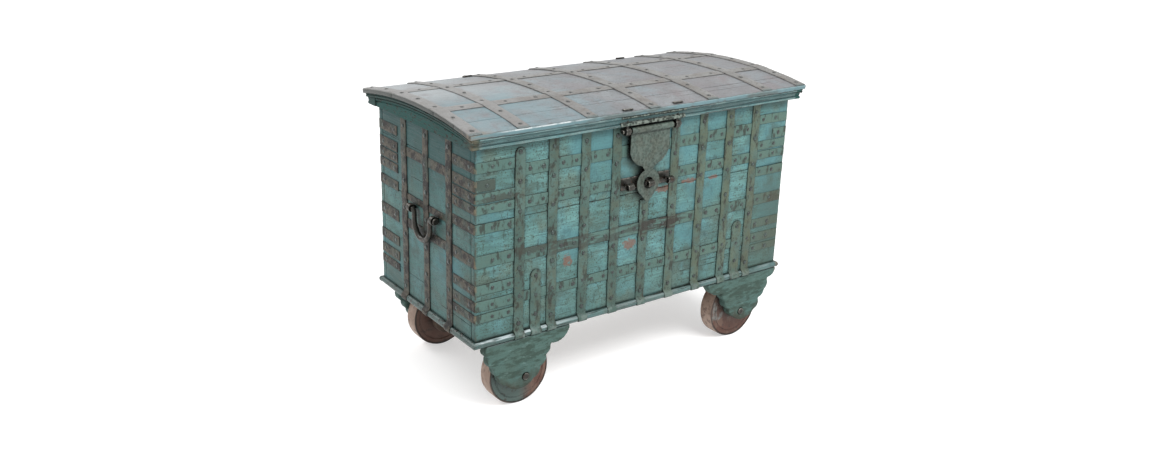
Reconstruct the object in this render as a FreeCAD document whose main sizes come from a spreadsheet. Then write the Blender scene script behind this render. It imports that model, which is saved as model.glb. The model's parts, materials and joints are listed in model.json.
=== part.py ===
"""Wooden storage chest with iron straps, a low domed lid, a hasp, drop handles and four wheels.

Frame: millimetres, +Z up, floor at Z 0, origin on the floor under the middle of the chest.
+X runs along the front to the right, and the front faces -Y.
"""
import FreeCAD, Part
import os
import Sketcher

doc = FreeCAD.newDocument("wooden_chest")
sheet = doc.addObject("Spreadsheet::Sheet", "size")

# Driving dimensions: alias, value in millimetres, meaning.
DIMENSIONS = [
    ("body_length", 1150, "carcass length outside"),
    ("body_depth", 560, "carcass depth outside"),
    ("board", 22, "thickness of the carcass boards"),
    ("carcass_low", 244, "underside of the carcass boards"),
    ("carcass_high", 797, "top edge of the carcass boards"),
    ("long_seam", 585, "height of the seam in the front and back"),
    ("end_seam", 560, "height of the seam in the ends"),
    ("floor_board", 18, "thickness of the floor boards"),
    ("base_low", 224, "underside of the base rails"),
    ("base_width", 56, "width of a base rail, nose included"),
    ("nose_radius", 10, "radius of the rounded nose of the base rails"),
    ("wheel_left", 411, "centre of the left wheels from the middle, along X"),
    ("wheel_right", 433, "centre of the right wheels from the middle, along X"),
    ("wheel_along", 226, "wheel centre from the middle, along Y"),
    ("wheel_radius", 99, "outside of the tyre"),
    ("wheel_width", 50, "width of wheel and tyre"),
    ("tyre", 4, "thickness of the iron tyre"),
    ("axle_radius", 11, "radius of the wheel axles"),
    ("play", 0.08, "radial clearance of every running fit"),
    ("bracket_shift", 15, "how far outside its wheel the middle of a bracket is, along X"),
    ("bracket_face", 286, "outer face of a wheel bracket from the middle"),
    ("bracket", 30, "thickness of a wheel bracket"),
    ("cheek_face", 190, "outer face of an inner wheel cheek from the middle"),
    ("cheek", 26, "thickness of an inner wheel cheek"),
    ("lid_half_length", 610, "half the length of the lid boards"),
    ("lid_half_depth", 316, "half the depth of the lid boards"),
    ("lid_edge", 840, "top of the lid boards at the front edge"),
    ("lid_rise", 29, "rise of the lid from its edge to its crown"),
    ("lid_board", 12, "thickness of the lid boards"),
    ("rail_foot", 303, "outer foot of the long lid rails from the middle"),
    ("end_foot", 598, "outer face of the lid ends from the middle"),
    ("thin", 1.8, "thickness of the straps that lie underneath"),
    ("thick", 3.6, "height of the straps that lie on top"),
    ("strap_width", 32, "width of the upright straps"),
    ("strap_pitch", 109, "spacing of the front upright straps"),
    ("short_top", 420, "top of the short front straps"),
    ("end_pitch", 131, "spacing of the upright straps on an end"),
    ("end_shift", 11, "how far in front of the middle the ironwork of an end sits"),
    ("corner_reach", 123, "length of a corner strap along the front"),
    ("corner_return", 118, "length of a corner strap along the end"),
    ("lid_strap_width", 38, "width of the straps over the lid"),
    ("lid_strap_pitch", 222, "spacing of the cross straps on the lid"),
    ("long_strap", 122, "long lid straps from the middle"),
    ("nail_radius", 5.5, "radius of a nail head"),
    ("nail_height", 2.4, "height of a nail head"),
    ("nail_low", 270, "lowest nail in an upright strap"),
    ("nail_high", 768, "highest nail in an upright strap"),
    ("nail_pair", 22, "nails beside the middle of a bay"),
    ("pin_height", 781, "height of the hasp pin"),
    ("pin_out", 300, "hasp pin from the middle"),
    ("pin_radius", 6, "radius of the hasp pin"),
    ("pin_half", 108, "half the length of the hasp pin"),
    ("roll_radius", 9.5, "outside of the rolled top of the hasp"),
    ("hasp_half", 72, "half the width of the hasp leaf"),
    ("hasp_front", 297, "front face of the hasp leaf from the middle"),
    ("hasp_plate", 3.5, "thickness of the hasp leaf"),
    ("hasp_disc", 42, "radius of the round part of the hasp"),
    ("hasp_hole", 17, "radius of the hole in the hasp"),
    ("hasp_shoulder", 712, "height where the broad part of the hasp starts to round in"),
    ("hasp_round", 60, "radius of the two lower corners of the broad part"),
    ("hasp_neck_top", 668, "top of the neck of the hasp"),
    ("hasp_neck", 15, "half the width of the neck"),
    ("hasp_waist", 26, "half the width of the hasp just above the neck and just above the tail"),
    ("hasp_tail", 559, "lower tip of the hasp"),
    ("hasp_tip", 6, "half the width of that tip"),
    ("eye_height", 615, "height of the lock eyes"),
    ("eye_out", 305, "lock eyes from the middle"),
    ("eye_spacing", 75, "spacing of the lock eyes"),
    ("eye_radius", 11, "outside of a lock eye"),
    ("eye_bore", 6.5, "radius of the hole in a lock eye"),
    ("eye_length", 22, "length of a lock eye"),
    ("shank", 5, "radius of the shanks of eyes"),
    ("slack", 0.05, "clearance round a shank in its hole"),
    ("handle_height", 540, "height of the handle axis"),
    ("handle_out", 590, "handle axis from the middle"),
    ("handle_eye", 66, "handle eyes from the middle of the handle"),
    ("handle_rod", 7, "radius of the handle rod"),
    ("handle_tip", 82, "ends of the handle from its middle"),
    ("handle_bend", 12, "radius of the bends beside the eyes"),
    ("handle_arm", 47, "arms of the handle from its middle"),
    ("handle_drop", 30, "straight part of each arm"),
    ("hinge_height", 770, "height of the lid hinge axis"),
    ("hinge_out", 296, "lid hinge axis from the middle"),
    ("link_wire", 4, "half the thickness of a hinge link"),
    ("link_radius", 11, "middle radius of a hinge link"),
]
for row, (alias, amount, meaning) in enumerate(DIMENSIONS, start=1):
    sheet.set(f"A{row}", meaning)
    sheet.set(f"B{row}", str(amount))
    sheet.setAlias(f"B{row}", alias)
doc.recompute()

# Formulas over the sheet that several pieces share.
HALF_LENGTH = "size.body_length / 2"
HALF_DEPTH = "size.body_depth / 2"
INNER_LENGTH = "(size.body_length / 2 - size.board)"
INNER_DEPTH = "(size.body_depth / 2 - size.board)"
NOSE_HEIGHT = "(size.base_low + size.nose_radius)"
DOME_RADIUS = "((size.lid_half_depth ^ 2 + size.lid_rise ^ 2) / (2 * size.lid_rise))"
CROWN = "(size.lid_edge + size.lid_rise)"
ABOVE_ALL = f"({CROWN} + 20)"
TURN = {
    "X": FreeCAD.Rotation(FreeCAD.Vector(0, 1, 0), 90),
    "Y": FreeCAD.Rotation(FreeCAD.Vector(1, 0, 0), -90),
    "Z": FreeCAD.Rotation(),
}
SEAM_ON_LID = 230
CLINCH_LENGTH = 34
CLINCH_THICKNESS = 4
HINGE_PLACES = (-260, 350)
LEFT, RIGHT, FRONT, BACK = -1, 1, -1, 1
nodes = []


def number(formula):
    """The present value of a formula."""
    result = sheet.evalExpression(str(formula))
    return float(getattr(result, "Value", result))


def bind(thing, formulas):
    """Ties properties of a document object to formulas over the sheet."""
    for name, formula in formulas.items():
        thing.setExpression(name, str(formula))
    return thing


def place(thing, spot):
    """Ties the position of an object to three formulas."""
    bind(thing, {f"Placement.Base.{axis}": formula for axis, formula in zip("xyz", spot)})
    return thing


def box(low, high, name="block"):
    """A block between two corners, each given as three formulas."""
    block = doc.addObject("Part::Box", name)
    sides = [f"({top}) - ({bottom})" for bottom, top in zip(low, high)]
    bind(block, dict(zip(("Length", "Width", "Height"), sides)))
    return place(block, low)


def cylinder(axis, radius, length, start, name="rod"):
    """A round bar along an axis, from the middle of its first end."""
    rod = doc.addObject("Part::Cylinder", name)
    rod.Placement.Rotation = TURN[axis]
    bind(rod, {"Radius": radius, "Height": length})
    return place(rod, start)


def cut(base, tool, name="trimmed"):
    result = doc.addObject("Part::Cut", name)
    result.Base = base
    result.Tool = tool
    return result


def common(base, tool, name="shared"):
    result = doc.addObject("Part::Common", name)
    result.Base = base
    result.Tool = tool
    return result


def fuse(things, name="joined"):
    result = doc.addObject("Part::MultiFuse", name)
    result.Shapes = things
    return result


def group(things, name="set"):
    result = doc.addObject("Part::Compound", name)
    result.Links = things
    return result


def node(thing, label):
    """Marks an object as one named piece of the chest."""
    thing.Label = label
    nodes.append(thing)
    return thing


def plane_of(body, role):
    return next(item for item in body.Origin.OriginFeatures if item.Role == role)


def arc_between(start, end, radius):
    """The short arc from start to end, bulging to the right of that direction when radius is positive."""
    chord = end - start
    middle = (start + end) / 2
    side = FreeCAD.Vector(chord.y, -chord.x, 0).normalize() * (1 if radius > 0 else -1)
    drop = (radius ** 2 - (chord.Length / 2) ** 2) ** 0.5
    return Part.Arc(start, middle + side * (abs(radius) - drop), end)


def outline(body, role, steps, closed=True, name="outline"):
    """A sketch on an origin plane of the body. Each step is where the line goes next:
    (x, y) for a straight stretch, or (x, y, radius) for an arc. All are formulas over the sheet.
    An open line starts at its first step; a closed one comes back to it."""
    sketch = body.newObject("Sketcher::SketchObject", name)
    sketch.AttachmentSupport = (plane_of(body, role), [""])
    sketch.MapMode = "FlatFace"
    corners = [FreeCAD.Vector(number(step[0]), number(step[1]), 0) for step in steps]
    drawn = range(0 if closed else 1, len(steps))
    ends = {}
    for index in drawn:
        step, start, end = steps[index], corners[index - 1], corners[index]
        curved = len(step) == 3
        shape = arc_between(start, end, number(step[2])) if curved else Part.LineSegment(start, end)
        edge = sketch.addGeometry(shape, False)
        forwards = (sketch.getPoint(edge, 1) - start).Length < 1e-4
        ends[index] = (edge, 1, 2) if forwards else (edge, 2, 1)
        if curved:
            rule = Sketcher.Constraint("Radius", edge, abs(number(step[2])))
            tie(sketch, rule, f"radius{index}", f"abs({step[2]})")
    for index in drawn:
        edge, first, last = ends[index]
        following = ends.get((index + 1) % len(steps))
        if following:
            sketch.addConstraint(Sketcher.Constraint("Coincident", edge, last, following[0], following[1]))
        pin_point(sketch, edge, last, steps[index], index)
    if not closed:
        edge, first, last = ends[1]
        pin_point(sketch, edge, first, steps[0], 0)
    return sketch


def tie(sketch, rule, label, formula):
    """Adds a named constraint whose value is a formula."""
    sketch.renameConstraint(sketch.addConstraint(rule), label)
    sketch.setExpression(f"Constraints.{label}", str(formula))


def pin_point(sketch, edge, end, step, index):
    """Fixes one end of an edge at the two formulas of a step."""
    for kind, formula in zip(("DistanceX", "DistanceY"), step):
        rule = Sketcher.Constraint(kind, -1, 1, edge, end, number(formula))
        tie(sketch, rule, f"{kind}{index}", formula)


def plate(role, steps, thickness, spot, name="plate"):
    """A flat piece padded from an outline: towards -Y from an XZ outline, towards +X from a YZ one."""
    body = doc.addObject("PartDesign::Body", name)
    sketch = outline(body, role, steps)
    pad = body.newObject("PartDesign::Pad", "pad")
    pad.Profile = sketch
    bind(pad, {"Length": thickness})
    body.Tip = pad
    sketch.Visibility = False
    return place(body, spot)


# ---------------------------------------------------------------- carcass

def eye_holes(axis, places, length):
    """Clearance holes for the shanks of eyes."""
    return group([cylinder(axis, "size.shank + size.slack", length, spot, "hole") for spot in places])


def long_wall(label, side):
    """The front or the back: two boards, one above the other."""
    outer, inner = f"{side} * {HALF_DEPTH}", f"{side} * {INNER_DEPTH}"
    low_y, high_y = sorted((outer, inner), key=number)
    left, right = f"-{HALF_LENGTH}", HALF_LENGTH
    lower = box((left, low_y, "size.carcass_low"), (right, high_y, "size.long_seam"))
    upper = box((left, low_y, "size.long_seam"), (right, high_y, "size.carcass_high"))
    if side == FRONT:
        spots = [(f"{step} * size.eye_spacing", low_y, "size.eye_height") for step in (-1, 0, 1)]
    else:
        spots = [(x, low_y, "size.hinge_height") for x in HINGE_PLACES]
    upper = cut(upper, eye_holes("Y", spots, "size.board"))
    node(lower, f"{label}_board_lower")
    node(upper, f"{label}_board_upper")


def handle_eye_place(step):
    """Where the front (-1) or the back (1) eye of a handle stands, along Y."""
    return f"({step} * size.handle_eye - size.end_shift)"


def end_wall(label, side):
    """One end: two boards between the front and the back."""
    outer, inner = f"{side} * {HALF_LENGTH}", f"{side} * {INNER_LENGTH}"
    low_x, high_x = sorted((outer, inner), key=number)
    near, far = f"-{INNER_DEPTH}", INNER_DEPTH
    lower = box((low_x, near, "size.carcass_low"), (high_x, far, "size.end_seam"))
    upper = box((low_x, near, "size.end_seam"), (high_x, far, "size.carcass_high"))
    spots = [(low_x, handle_eye_place(step), "size.handle_height") for step in (-1, 1)]
    lower = cut(lower, eye_holes("X", spots, "size.board"))
    node(lower, f"{label}_board_lower")
    node(upper, f"{label}_board_upper")


def floor_boards(count=4):
    """Equal floor boards side by side, lengthways."""
    boards = []
    for index in range(count):
        near = f"{INNER_DEPTH} * ({2 * index / count} - 1)"
        far = f"{INNER_DEPTH} * ({2 * (index + 1) / count} - 1)"
        low = (f"-{INNER_LENGTH}", near, "size.carcass_low")
        high = (INNER_LENGTH, far, "size.carcass_low + size.floor_board")
        boards.append(box(low, high))
    node(group(boards), "floor_boards")


# ------------------------------------------------------------ base and wheels

def base_rail(label, axis, side):
    """One rail of the base frame, with a rounded nose outside the carcass."""
    across = HALF_DEPTH if axis == "X" else HALF_LENGTH
    nose = f"{side} * ({across} + 1)"
    back = f"{side} * ({across} + 1 + size.nose_radius - size.base_width)"
    low_side, high_side = sorted((nose, back), key=number)
    if axis == "X":
        reach = f"({HALF_LENGTH} + 1 + size.nose_radius)"
        low, high = (f"-{reach}", low_side), (reach, high_side)
        start = (f"-{reach}", nose, NOSE_HEIGHT)
    else:
        reach = f"({HALF_DEPTH} + 1 + size.nose_radius - size.base_width)"
        low, high = (low_side, f"-{reach}"), (high_side, reach)
        start = (nose, f"-{reach}", NOSE_HEIGHT)
    slab = box((*low, "size.base_low"), (*high, "size.carcass_low"))
    bead = cylinder(axis, "size.nose_radius", f"2 * {reach}", start)
    node(fuse([slab, bead]), f"base_rail_{label}")


def wheel_across(x_side):
    """Where the wheels of one side stand, along X. The two sides differ a little."""
    return "size.wheel_right" if x_side == RIGHT else "-1 * size.wheel_left"


def axle_hole(x_side):
    """A bar the size of an axle, right through the chest at the two wheels of one side."""
    start = (wheel_across(x_side), "-1.5 * size.bracket_face", "size.wheel_radius")
    return cylinder("Y", "size.axle_radius", "3 * size.bracket_face", start, "hole")


# The edges of a wheel bracket, from the top corner down to the tongue: distance from the middle
# of the bracket, height, and a radius where the edge is a carved lobe. The outer tips of the left
# brackets are broken off short.
INNER_EDGE = [
    (168, 224, None),
    (100, 182, 50),
    (86, 150, 24),
    (66, 118, 24),
    (46, 86, 28),
]
OUTER_EDGE = {
    LEFT: [
        (113, 224, None),
        (119, 194, 34),
        (106, 188, None),
        (89, 150, 24),
        (74, 118, 24),
        (50, 86, 28),
    ],
    RIGHT: [
        (134, 224, None),
        (96, 192, 34),
        (88, 153, 26),
        (62, 129, 24),
        (48, 92, 24),
    ],
}
TONGUE_RADIUS = 62


def wheel_bracket(label, x_side, y_side):
    """The carved board in front of a wheel."""
    outer = OUTER_EDGE[x_side]
    right, left = (outer, INNER_EDGE) if x_side == RIGHT else (INNER_EDGE, outer)
    down = [(x, z, f"-{radius}") if radius else (x, z) for x, z, radius in right]
    up = []
    radius_before = TONGUE_RADIUS
    for x, z, radius in reversed(left):
        up.append((-x, z, f"-{radius_before}") if radius_before else (-x, z))
        radius_before = radius
    thickness_from = f"{y_side} * size.bracket_face"
    if y_side == FRONT:
        thickness_from = "size.bracket - size.bracket_face"
    spot = (f"{wheel_across(x_side)} + {x_side} * size.bracket_shift", thickness_from, 0)
    board = plate("XZ_Plane", down + up, "size.bracket", spot)
    node(cut(board, axle_hole(x_side)), f"wheel_bracket_{label}")


def wheel_cheeks():
    """The plain boards behind the wheels, which carry the inner ends of the axles."""
    foot, top = 45, 60
    steps = [
        (top, "size.carcass_low"),
        (foot, "size.wheel_radius"),
        (0, f"size.wheel_radius - {foot}", f"-{foot}"),
        (-foot, "size.wheel_radius", f"-{foot}"),
        (-top, "size.carcass_low"),
    ]
    boards = []
    for x_side in (LEFT, RIGHT):
        for y_side in (FRONT, BACK):
            from_y = "size.cheek_face" if y_side == BACK else "size.cheek - size.cheek_face"
            spot = (wheel_across(x_side), from_y, 0)
            board = plate("XZ_Plane", steps, "size.cheek", spot)
            boards.append(cut(board, axle_hole(x_side)))
    node(group(boards), "wheel_cheeks")


def wheel_axles(end_proud=3):
    """Four short iron axles, each through a bracket, a wheel and a cheek."""
    length = f"size.bracket_face - size.cheek_face + size.cheek + {end_proud}"
    axles = []
    for x_side in (LEFT, RIGHT):
        for y_side in (FRONT, BACK):
            outer = f"(size.bracket_face + {end_proud})"
            start_y = f"-{outer}" if y_side == FRONT else "size.cheek_face - size.cheek"
            start = (wheel_across(x_side), start_y, "size.wheel_radius")
            axles.append(cylinder("Y", "size.axle_radius", length, start))
    node(group(axles), "wheel_axles")


def wheel(label, x_side, y_side):
    """A solid wooden disc with a ring groove in each face, and the iron tyre shrunk round it."""
    rim = "(size.wheel_radius - size.tyre)"
    half = "size.wheel_width / 2"
    bore = "size.axle_radius + size.play"
    groove, depth, wide = 78, 2, 4
    steps = [
        (bore, f"-{half}"),
        (groove, f"-{half}"),
        (groove, f"{depth} - {half}"),
        (groove + wide, f"{depth} - {half}"),
        (groove + wide, f"-{half}"),
        (rim, f"-{half}"),
        (rim, half),
        (groove + wide, half),
        (groove + wide, f"{half} - {depth}"),
        (groove, f"{half} - {depth}"),
        (groove, half),
        (bore, half),
    ]
    centre = (wheel_across(x_side), f"{y_side} * size.wheel_along", "size.wheel_radius")
    body = doc.addObject("PartDesign::Body", "disc")
    sketch = outline(body, "XY_Plane", steps)
    turned = body.newObject("PartDesign::Revolution", "turned")
    turned.Profile = sketch
    turned.ReferenceAxis = (sketch, ["V_Axis"])
    turned.Angle = 360
    body.Tip = turned
    node(place(body, centre), f"wheel_{label}")
    start = (centre[0], f"{centre[1]} - {half}", centre[2])
    hoop = cylinder("Y", "size.wheel_radius", "size.wheel_width", start)
    node(cut(hoop, cylinder("Y", rim, "size.wheel_width", start)), f"tyre_{label}")


# ------------------------------------------------------------ iron on the carcass

FRONT_COLUMNS = (-4, -3, -2, -1, 0, 1, 2, 3, 4)
BACK_COLUMNS = (-4, -2, 0, 2, 4)
# Cross straps of the front: lower edge and upper edge.
FRONT_ROWS = ((700, 734), (608, 640), (456, 490), (333, 363))
BACK_ROWS = ((700, 734), (456, 490))
END_ROWS = ((680, 708), (548, 568), (463, 490))
# Corner straps: lower edge, upper edge, and how much of the full length along the front.
CORNER_ROWS = (
    (726, 755, 1.0),
    (675, 706, 0.5),
    (643, 671, 1.0),
    (612, 638, 1.0),
    (556, 585, 1.0),
    (460, 495, 1.0),
    (381, 411, 1.0),
    (333, 363, 1.0),
    (299, 324, 1.0),
)
WRAP_LOW = 227
# A distance out from a wall that clears every strap.
CLEAR = 40
ROUND_TOP = 780
HASP_CLEAR = 560
# The band behind the lock eyes: half its length, lower and upper edge, thickness.
BAND_HALF = 91
BAND = (600, 636)
BAND_THICKNESS = 2.4
# Short front straps: middle and width.
SHORT_STRAPS = ((-380, 35), (388, 40))


def wall_layer(side, axis, height, low, high, lift=0):
    """A sheet of the given height over one face of the carcass, or lifted clear of it."""
    across = HALF_DEPTH if axis == "Y" else HALF_LENGTH
    inner, outer = f"{side} * ({across} + {lift})", f"{side} * ({across} + {height})"
    low_side, high_side = sorted((inner, outer), key=number)
    if axis == "Y":
        return box((low[0], low_side, low[1]), (high[0], high_side, high[1]))
    return box((low_side, low[0], low[1]), (high_side, high[0], high[1]))


def nose_layer(side, axis):
    """The part of a strap that wraps the rounded nose of a base rail."""
    across = HALF_DEPTH if axis == "Y" else HALF_LENGTH
    along = "X" if axis == "Y" else "Y"
    centre = f"{side} * ({across} + 1)"
    reach = HALF_LENGTH if axis == "Y" else HALF_DEPTH
    start = (f"-{reach}", centre, NOSE_HEIGHT) if axis == "Y" else (centre, f"-{reach}", NOSE_HEIGHT)
    outer = cylinder(along, "size.nose_radius + size.thick", f"2 * {reach}", start)
    inner = cylinder(along, "size.nose_radius", f"2 * {reach}", start)
    outside = wall_layer(side, axis, CLEAR, (f"-{reach}", WRAP_LOW), (reach, f"{NOSE_HEIGHT} + {CLEAR}"), 1)
    return common(cut(outer, inner), outside)


def columns(side, axis, spans, under):
    """Upright straps on one face. Each span is a middle, a width and a top."""
    reach = HALF_LENGTH if axis == "Y" else HALF_DEPTH
    top = "size.carcass_high"
    sheet_part = wall_layer(side, axis, "size.thick", (f"-{reach}", "size.carcass_low"), (reach, top))
    wrapped = fuse([sheet_part, nose_layer(side, axis)])
    stripes = []
    for middle, width, height in spans:
        low = (f"{middle} - {width} / 2", WRAP_LOW)
        high = (f"{middle} + {width} / 2", height)
        stripes.append(wall_layer(side, axis, CLEAR, low, high))
    return cut(common(wrapped, group(stripes)), under)


ROW_REACH = "(4 * size.strap_pitch + size.strap_width / 2)"


def front_straps():
    """Cross straps, and the upright straps bent over them and over the base nose."""
    rows = []
    for low, high in FRONT_ROWS:
        stretches = [(f"-{ROW_REACH}", ROW_REACH)]
        if low < BAND[1] and high > BAND[0]:
            stretches = [(f"-{ROW_REACH}", -BAND_HALF), (BAND_HALF, ROW_REACH)]
        for start, stop in stretches:
            rows.append(wall_layer(FRONT, "Y", "size.thin", (start, low), (stop, high)))
    under = node(group(rows), "front_cross_straps")
    spans = []
    for column in FRONT_COLUMNS:
        top = {-4: ROUND_TOP, 0: HASP_CLEAR}.get(column, "size.carcass_high")
        spans.append((f"{column} * size.strap_pitch", "size.strap_width", top))
    spans += [(middle, width, "size.short_top") for middle, width in SHORT_STRAPS]
    node(columns(FRONT, "Y", spans, under), "front_upright_straps")
    band = wall_layer(FRONT, "Y", BAND_THICKNESS, (-BAND_HALF, BAND[0]), (BAND_HALF, BAND[1]))
    in_front = f"-{HALF_DEPTH} - {CLEAR}"
    spots = [(f"{step} * size.eye_spacing", in_front, "size.eye_height") for step in (-1, 0, 1)]
    node(cut(band, eye_holes("Y", spots, 2 * CLEAR)), "lock_band")


def back_straps():
    """Two cross straps and five upright ones."""
    rows = []
    for low, high in BACK_ROWS:
        rows.append(wall_layer(BACK, "Y", "size.thin", (f"-{ROW_REACH}", low), (ROW_REACH, high)))
    under = node(group(rows), "back_cross_straps")
    width, top = "size.strap_width", "size.carcass_high"
    spans = [(f"{column} * size.strap_pitch", width, top) for column in BACK_COLUMNS]
    node(columns(BACK, "Y", spans, under), "back_upright_straps")


def end_straps():
    """The same on both ends: three uprights over three cross straps."""
    width, top = "size.strap_width", "size.carcass_high"
    reach = f"(size.end_pitch + {width} / 2)"
    from_y, to_y = f"-{reach} - size.end_shift", f"{reach} - size.end_shift"
    spans = [(f"({step} * size.end_pitch - size.end_shift)", width, top) for step in (-1, 0, 1)]
    crosses, uprights = [], []
    for side in (LEFT, RIGHT):
        rows = []
        for low, high in END_ROWS:
            rows.append(wall_layer(side, "X", "size.thin", (from_y, low), (to_y, high)))
        under = group(rows)
        crosses.append(under)
        uprights.append(columns(side, "X", spans, under))
    node(group(crosses), "end_cross_straps")
    node(group(uprights), "end_upright_straps")


def corner_straps(label, y_side):
    """Angle straps that hold the corner joints, on the two corners of one long side."""
    straps = []
    for x_side in (LEFT, RIGHT):
        for low, high, share in CORNER_ROWS:
            outer = f"{x_side} * ({HALF_LENGTH} + size.thin)"
            inner = f"{x_side} * ({HALF_LENGTH} - {share} * size.corner_reach)"
            low_x, high_x = sorted((outer, inner), key=number)
            flat = wall_layer(y_side, "Y", "size.thin", (low_x, low), (high_x, high))
            outer = f"{y_side} * ({HALF_DEPTH} + size.thin)"
            inner = f"{y_side} * ({HALF_DEPTH} - size.corner_return)"
            low_y, high_y = sorted((outer, inner), key=number)
            turned = wall_layer(x_side, "X", "size.thin", (low_y, low), (high_y, high))
            straps.append(fuse([flat, turned]))
    node(group(straps), f"{label}_corner_straps")


# ------------------------------------------------------------ eyes, hasp and handles

def eye(barrel_axis, shank_axis, centre, reach, clinch, sizes):
    """A round eye on a shank that runs through a board and is clinched on the far side.

    reach is how far the shank runs along its axis from the centre, and clinch the block at its end."""
    outer, bore, length = sizes
    shift = {"X": 0, "Y": 1, "Z": 2}[barrel_axis]
    start = list(centre)
    start[shift] = f"{centre[shift]} - ({length}) / 2"
    barrel = cylinder(barrel_axis, outer, length, start)
    hole = cylinder(barrel_axis, bore, length, start)
    along = {"X": 0, "Y": 1, "Z": 2}[shank_axis]
    foot = list(centre)
    if number(reach) < 0:
        foot[along] = f"{centre[along]} + ({reach})"
    shank = cylinder(shank_axis, "size.shank", f"abs({reach})", foot)
    return cut(fuse([barrel, shank, clinch]), hole)


def lock_eyes():
    """Three eyes in line on the front.

    The hasp drops over the middle one, and a bar through all of them locks it."""
    eyes = []
    inside = f"-{INNER_DEPTH}"
    for step in (-1, 0, 1):
        x = f"{step} * size.eye_spacing"
        clinch = box((f"{x} - size.shank", inside, f"size.eye_height - {CLINCH_LENGTH / 2}"),
                     (f"{x} + size.shank", f"{inside} + {CLINCH_THICKNESS}",
                      f"size.eye_height + {CLINCH_LENGTH / 2}"))
        centre = (x, "-size.eye_out", "size.eye_height")
        sizes = ("size.eye_radius", "size.eye_bore", "size.eye_length")
        eyes.append(eye("X", "Y", centre, f"size.eye_out - {INNER_DEPTH} + 2", clinch, sizes))
    node(group(eyes), "lock_eyes")


def handle_eyes():
    """Two eyes on each end, which carry the drop handles."""
    eyes = []
    for side in (LEFT, RIGHT):
        for step in (-1, 1):
            y = handle_eye_place(step)
            inside = f"{side} * {INNER_LENGTH}"
            deeper = f"{side} * ({INNER_LENGTH} - {CLINCH_THICKNESS})"
            low_x, high_x = sorted((inside, deeper), key=number)
            clinch = box((low_x, f"{y} - size.shank", f"size.handle_height - {CLINCH_LENGTH / 2}"),
                         (high_x, f"{y} + size.shank", f"size.handle_height + {CLINCH_LENGTH / 2}"))
            centre = (f"{side} * size.handle_out", y, "size.handle_height")
            reach = f"-{side} * (size.handle_out - {INNER_LENGTH} + 2)"
            sizes = ("size.handle_rod + 6", "size.handle_rod + size.play", 14)
            eyes.append(eye("Y", "X", centre, reach, clinch, sizes))
    node(group(eyes), "handle_eyes")


def handle(label, side):
    """A drop handle: one round bar bent to a U.

    Its ends turn outwards through the eyes and are headed over."""
    tip, bend, arm, drop = "size.handle_tip", "size.handle_bend", "size.handle_arm", "size.handle_drop"
    body = doc.addObject("PartDesign::Body", "bail")
    steps = [
        (f"-{tip}", 0),
        (f"-{arm} - {bend}", 0),
        (f"-{arm}", f"-{bend}", f"-{bend}"),
        (f"-{arm}", f"-{drop}"),
        (0, f"-{drop} - {arm}", arm),
        (arm, f"-{drop}", arm),
        (arm, f"-{bend}"),
        (f"{arm} + {bend}", 0, f"-{bend}"),
        (tip, 0),
    ]
    path = outline(body, "YZ_Plane", steps, closed=False, name="path")
    ring = body.newObject("Sketcher::SketchObject", "section")
    ring.AttachmentSupport = (plane_of(body, "XZ_Plane"), [""])
    ring.MapMode = "FlatFace"
    bind(ring, {"AttachmentOffset.Base.z": tip})
    rod = number("size.handle_rod")
    ring.addGeometry(Part.Circle(FreeCAD.Vector(0, 0, 0), FreeCAD.Vector(0, 0, 1), rod), False)
    ring.addConstraint(Sketcher.Constraint("Coincident", 0, 3, -1, 1))
    tie(ring, Sketcher.Constraint("Radius", 0, rod), "rod", "size.handle_rod")
    pipe = body.newObject("PartDesign::AdditivePipe", "pipe")
    pipe.Profile = ring
    pipe.Spine = path
    body.Tip = pipe
    place(body, (f"{side} * size.handle_out", "-1 * size.end_shift", "size.handle_height"))
    heads = []
    head, proud = 6, 1
    for along in (f"-{tip} - {proud}", f"{tip} + {proud} - {head}"):
        near = f"{along} - size.end_shift"
        start = (f"{side} * size.handle_out", near, "size.handle_height")
        heads.append(cylinder("Y", "size.handle_rod + 2.5", head, start, "head"))
    node(fuse([body, *heads]), f"{label}_handle")


def hasp():
    """The hasp leaf and its pin.

    The leaf has a rolled top round the pin, a broad part, a neck, and a disc with a hole for the
    middle eye."""
    wide, waist, neck, tip = "size.hasp_half", "size.hasp_waist", "size.hasp_neck", "size.hasp_tip"
    disc_top = f"size.eye_height + (size.hasp_disc ^ 2 - {neck} ^ 2) ^ 0.5"
    disc_low = f"size.eye_height - (size.hasp_disc ^ 2 - {waist} ^ 2) ^ 0.5"
    right = [
        (wide, "size.pin_height"),
        (wide, "size.hasp_shoulder"),
        (waist, "size.hasp_neck_top", "-size.hasp_round"),
        (neck, disc_top),
        (waist, disc_low, "-size.hasp_disc"),
        (tip, "size.hasp_tail"),
    ]
    left = [
        (f"-{tip}", "size.hasp_tail"),
        (f"-{waist}", disc_low),
        (f"-{neck}", disc_top, "-size.hasp_disc"),
        (f"-{waist}", "size.hasp_neck_top"),
        (f"-{wide}", "size.hasp_shoulder", "-size.hasp_round"),
        (f"-{wide}", "size.pin_height"),
    ]
    spot = (0, "size.hasp_plate - size.hasp_front", 0)
    leaf = plate("XZ_Plane", right + left, "size.hasp_plate", spot)
    roll_half = f"({wide} + 4)"
    start = (f"-{roll_half}", "-size.pin_out", "size.pin_height")
    roll = cylinder("X", "size.roll_radius", f"2 * {roll_half}", start)
    pin_space = cylinder("X", "size.pin_radius + size.play", f"2 * {roll_half}", start)
    opening = cylinder("Y", "size.hasp_hole", 40, (0, "-size.hasp_front - 20", "size.eye_height"))
    node(cut(fuse([leaf, roll]), group([pin_space, opening])), "hasp")
    start = ("-size.pin_half", "-size.pin_out", "size.pin_height")
    node(cylinder("X", "size.pin_radius", "2 * size.pin_half", start), "hasp_pin")


HASP_EYE_PLACES = (-92, 92)


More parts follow.
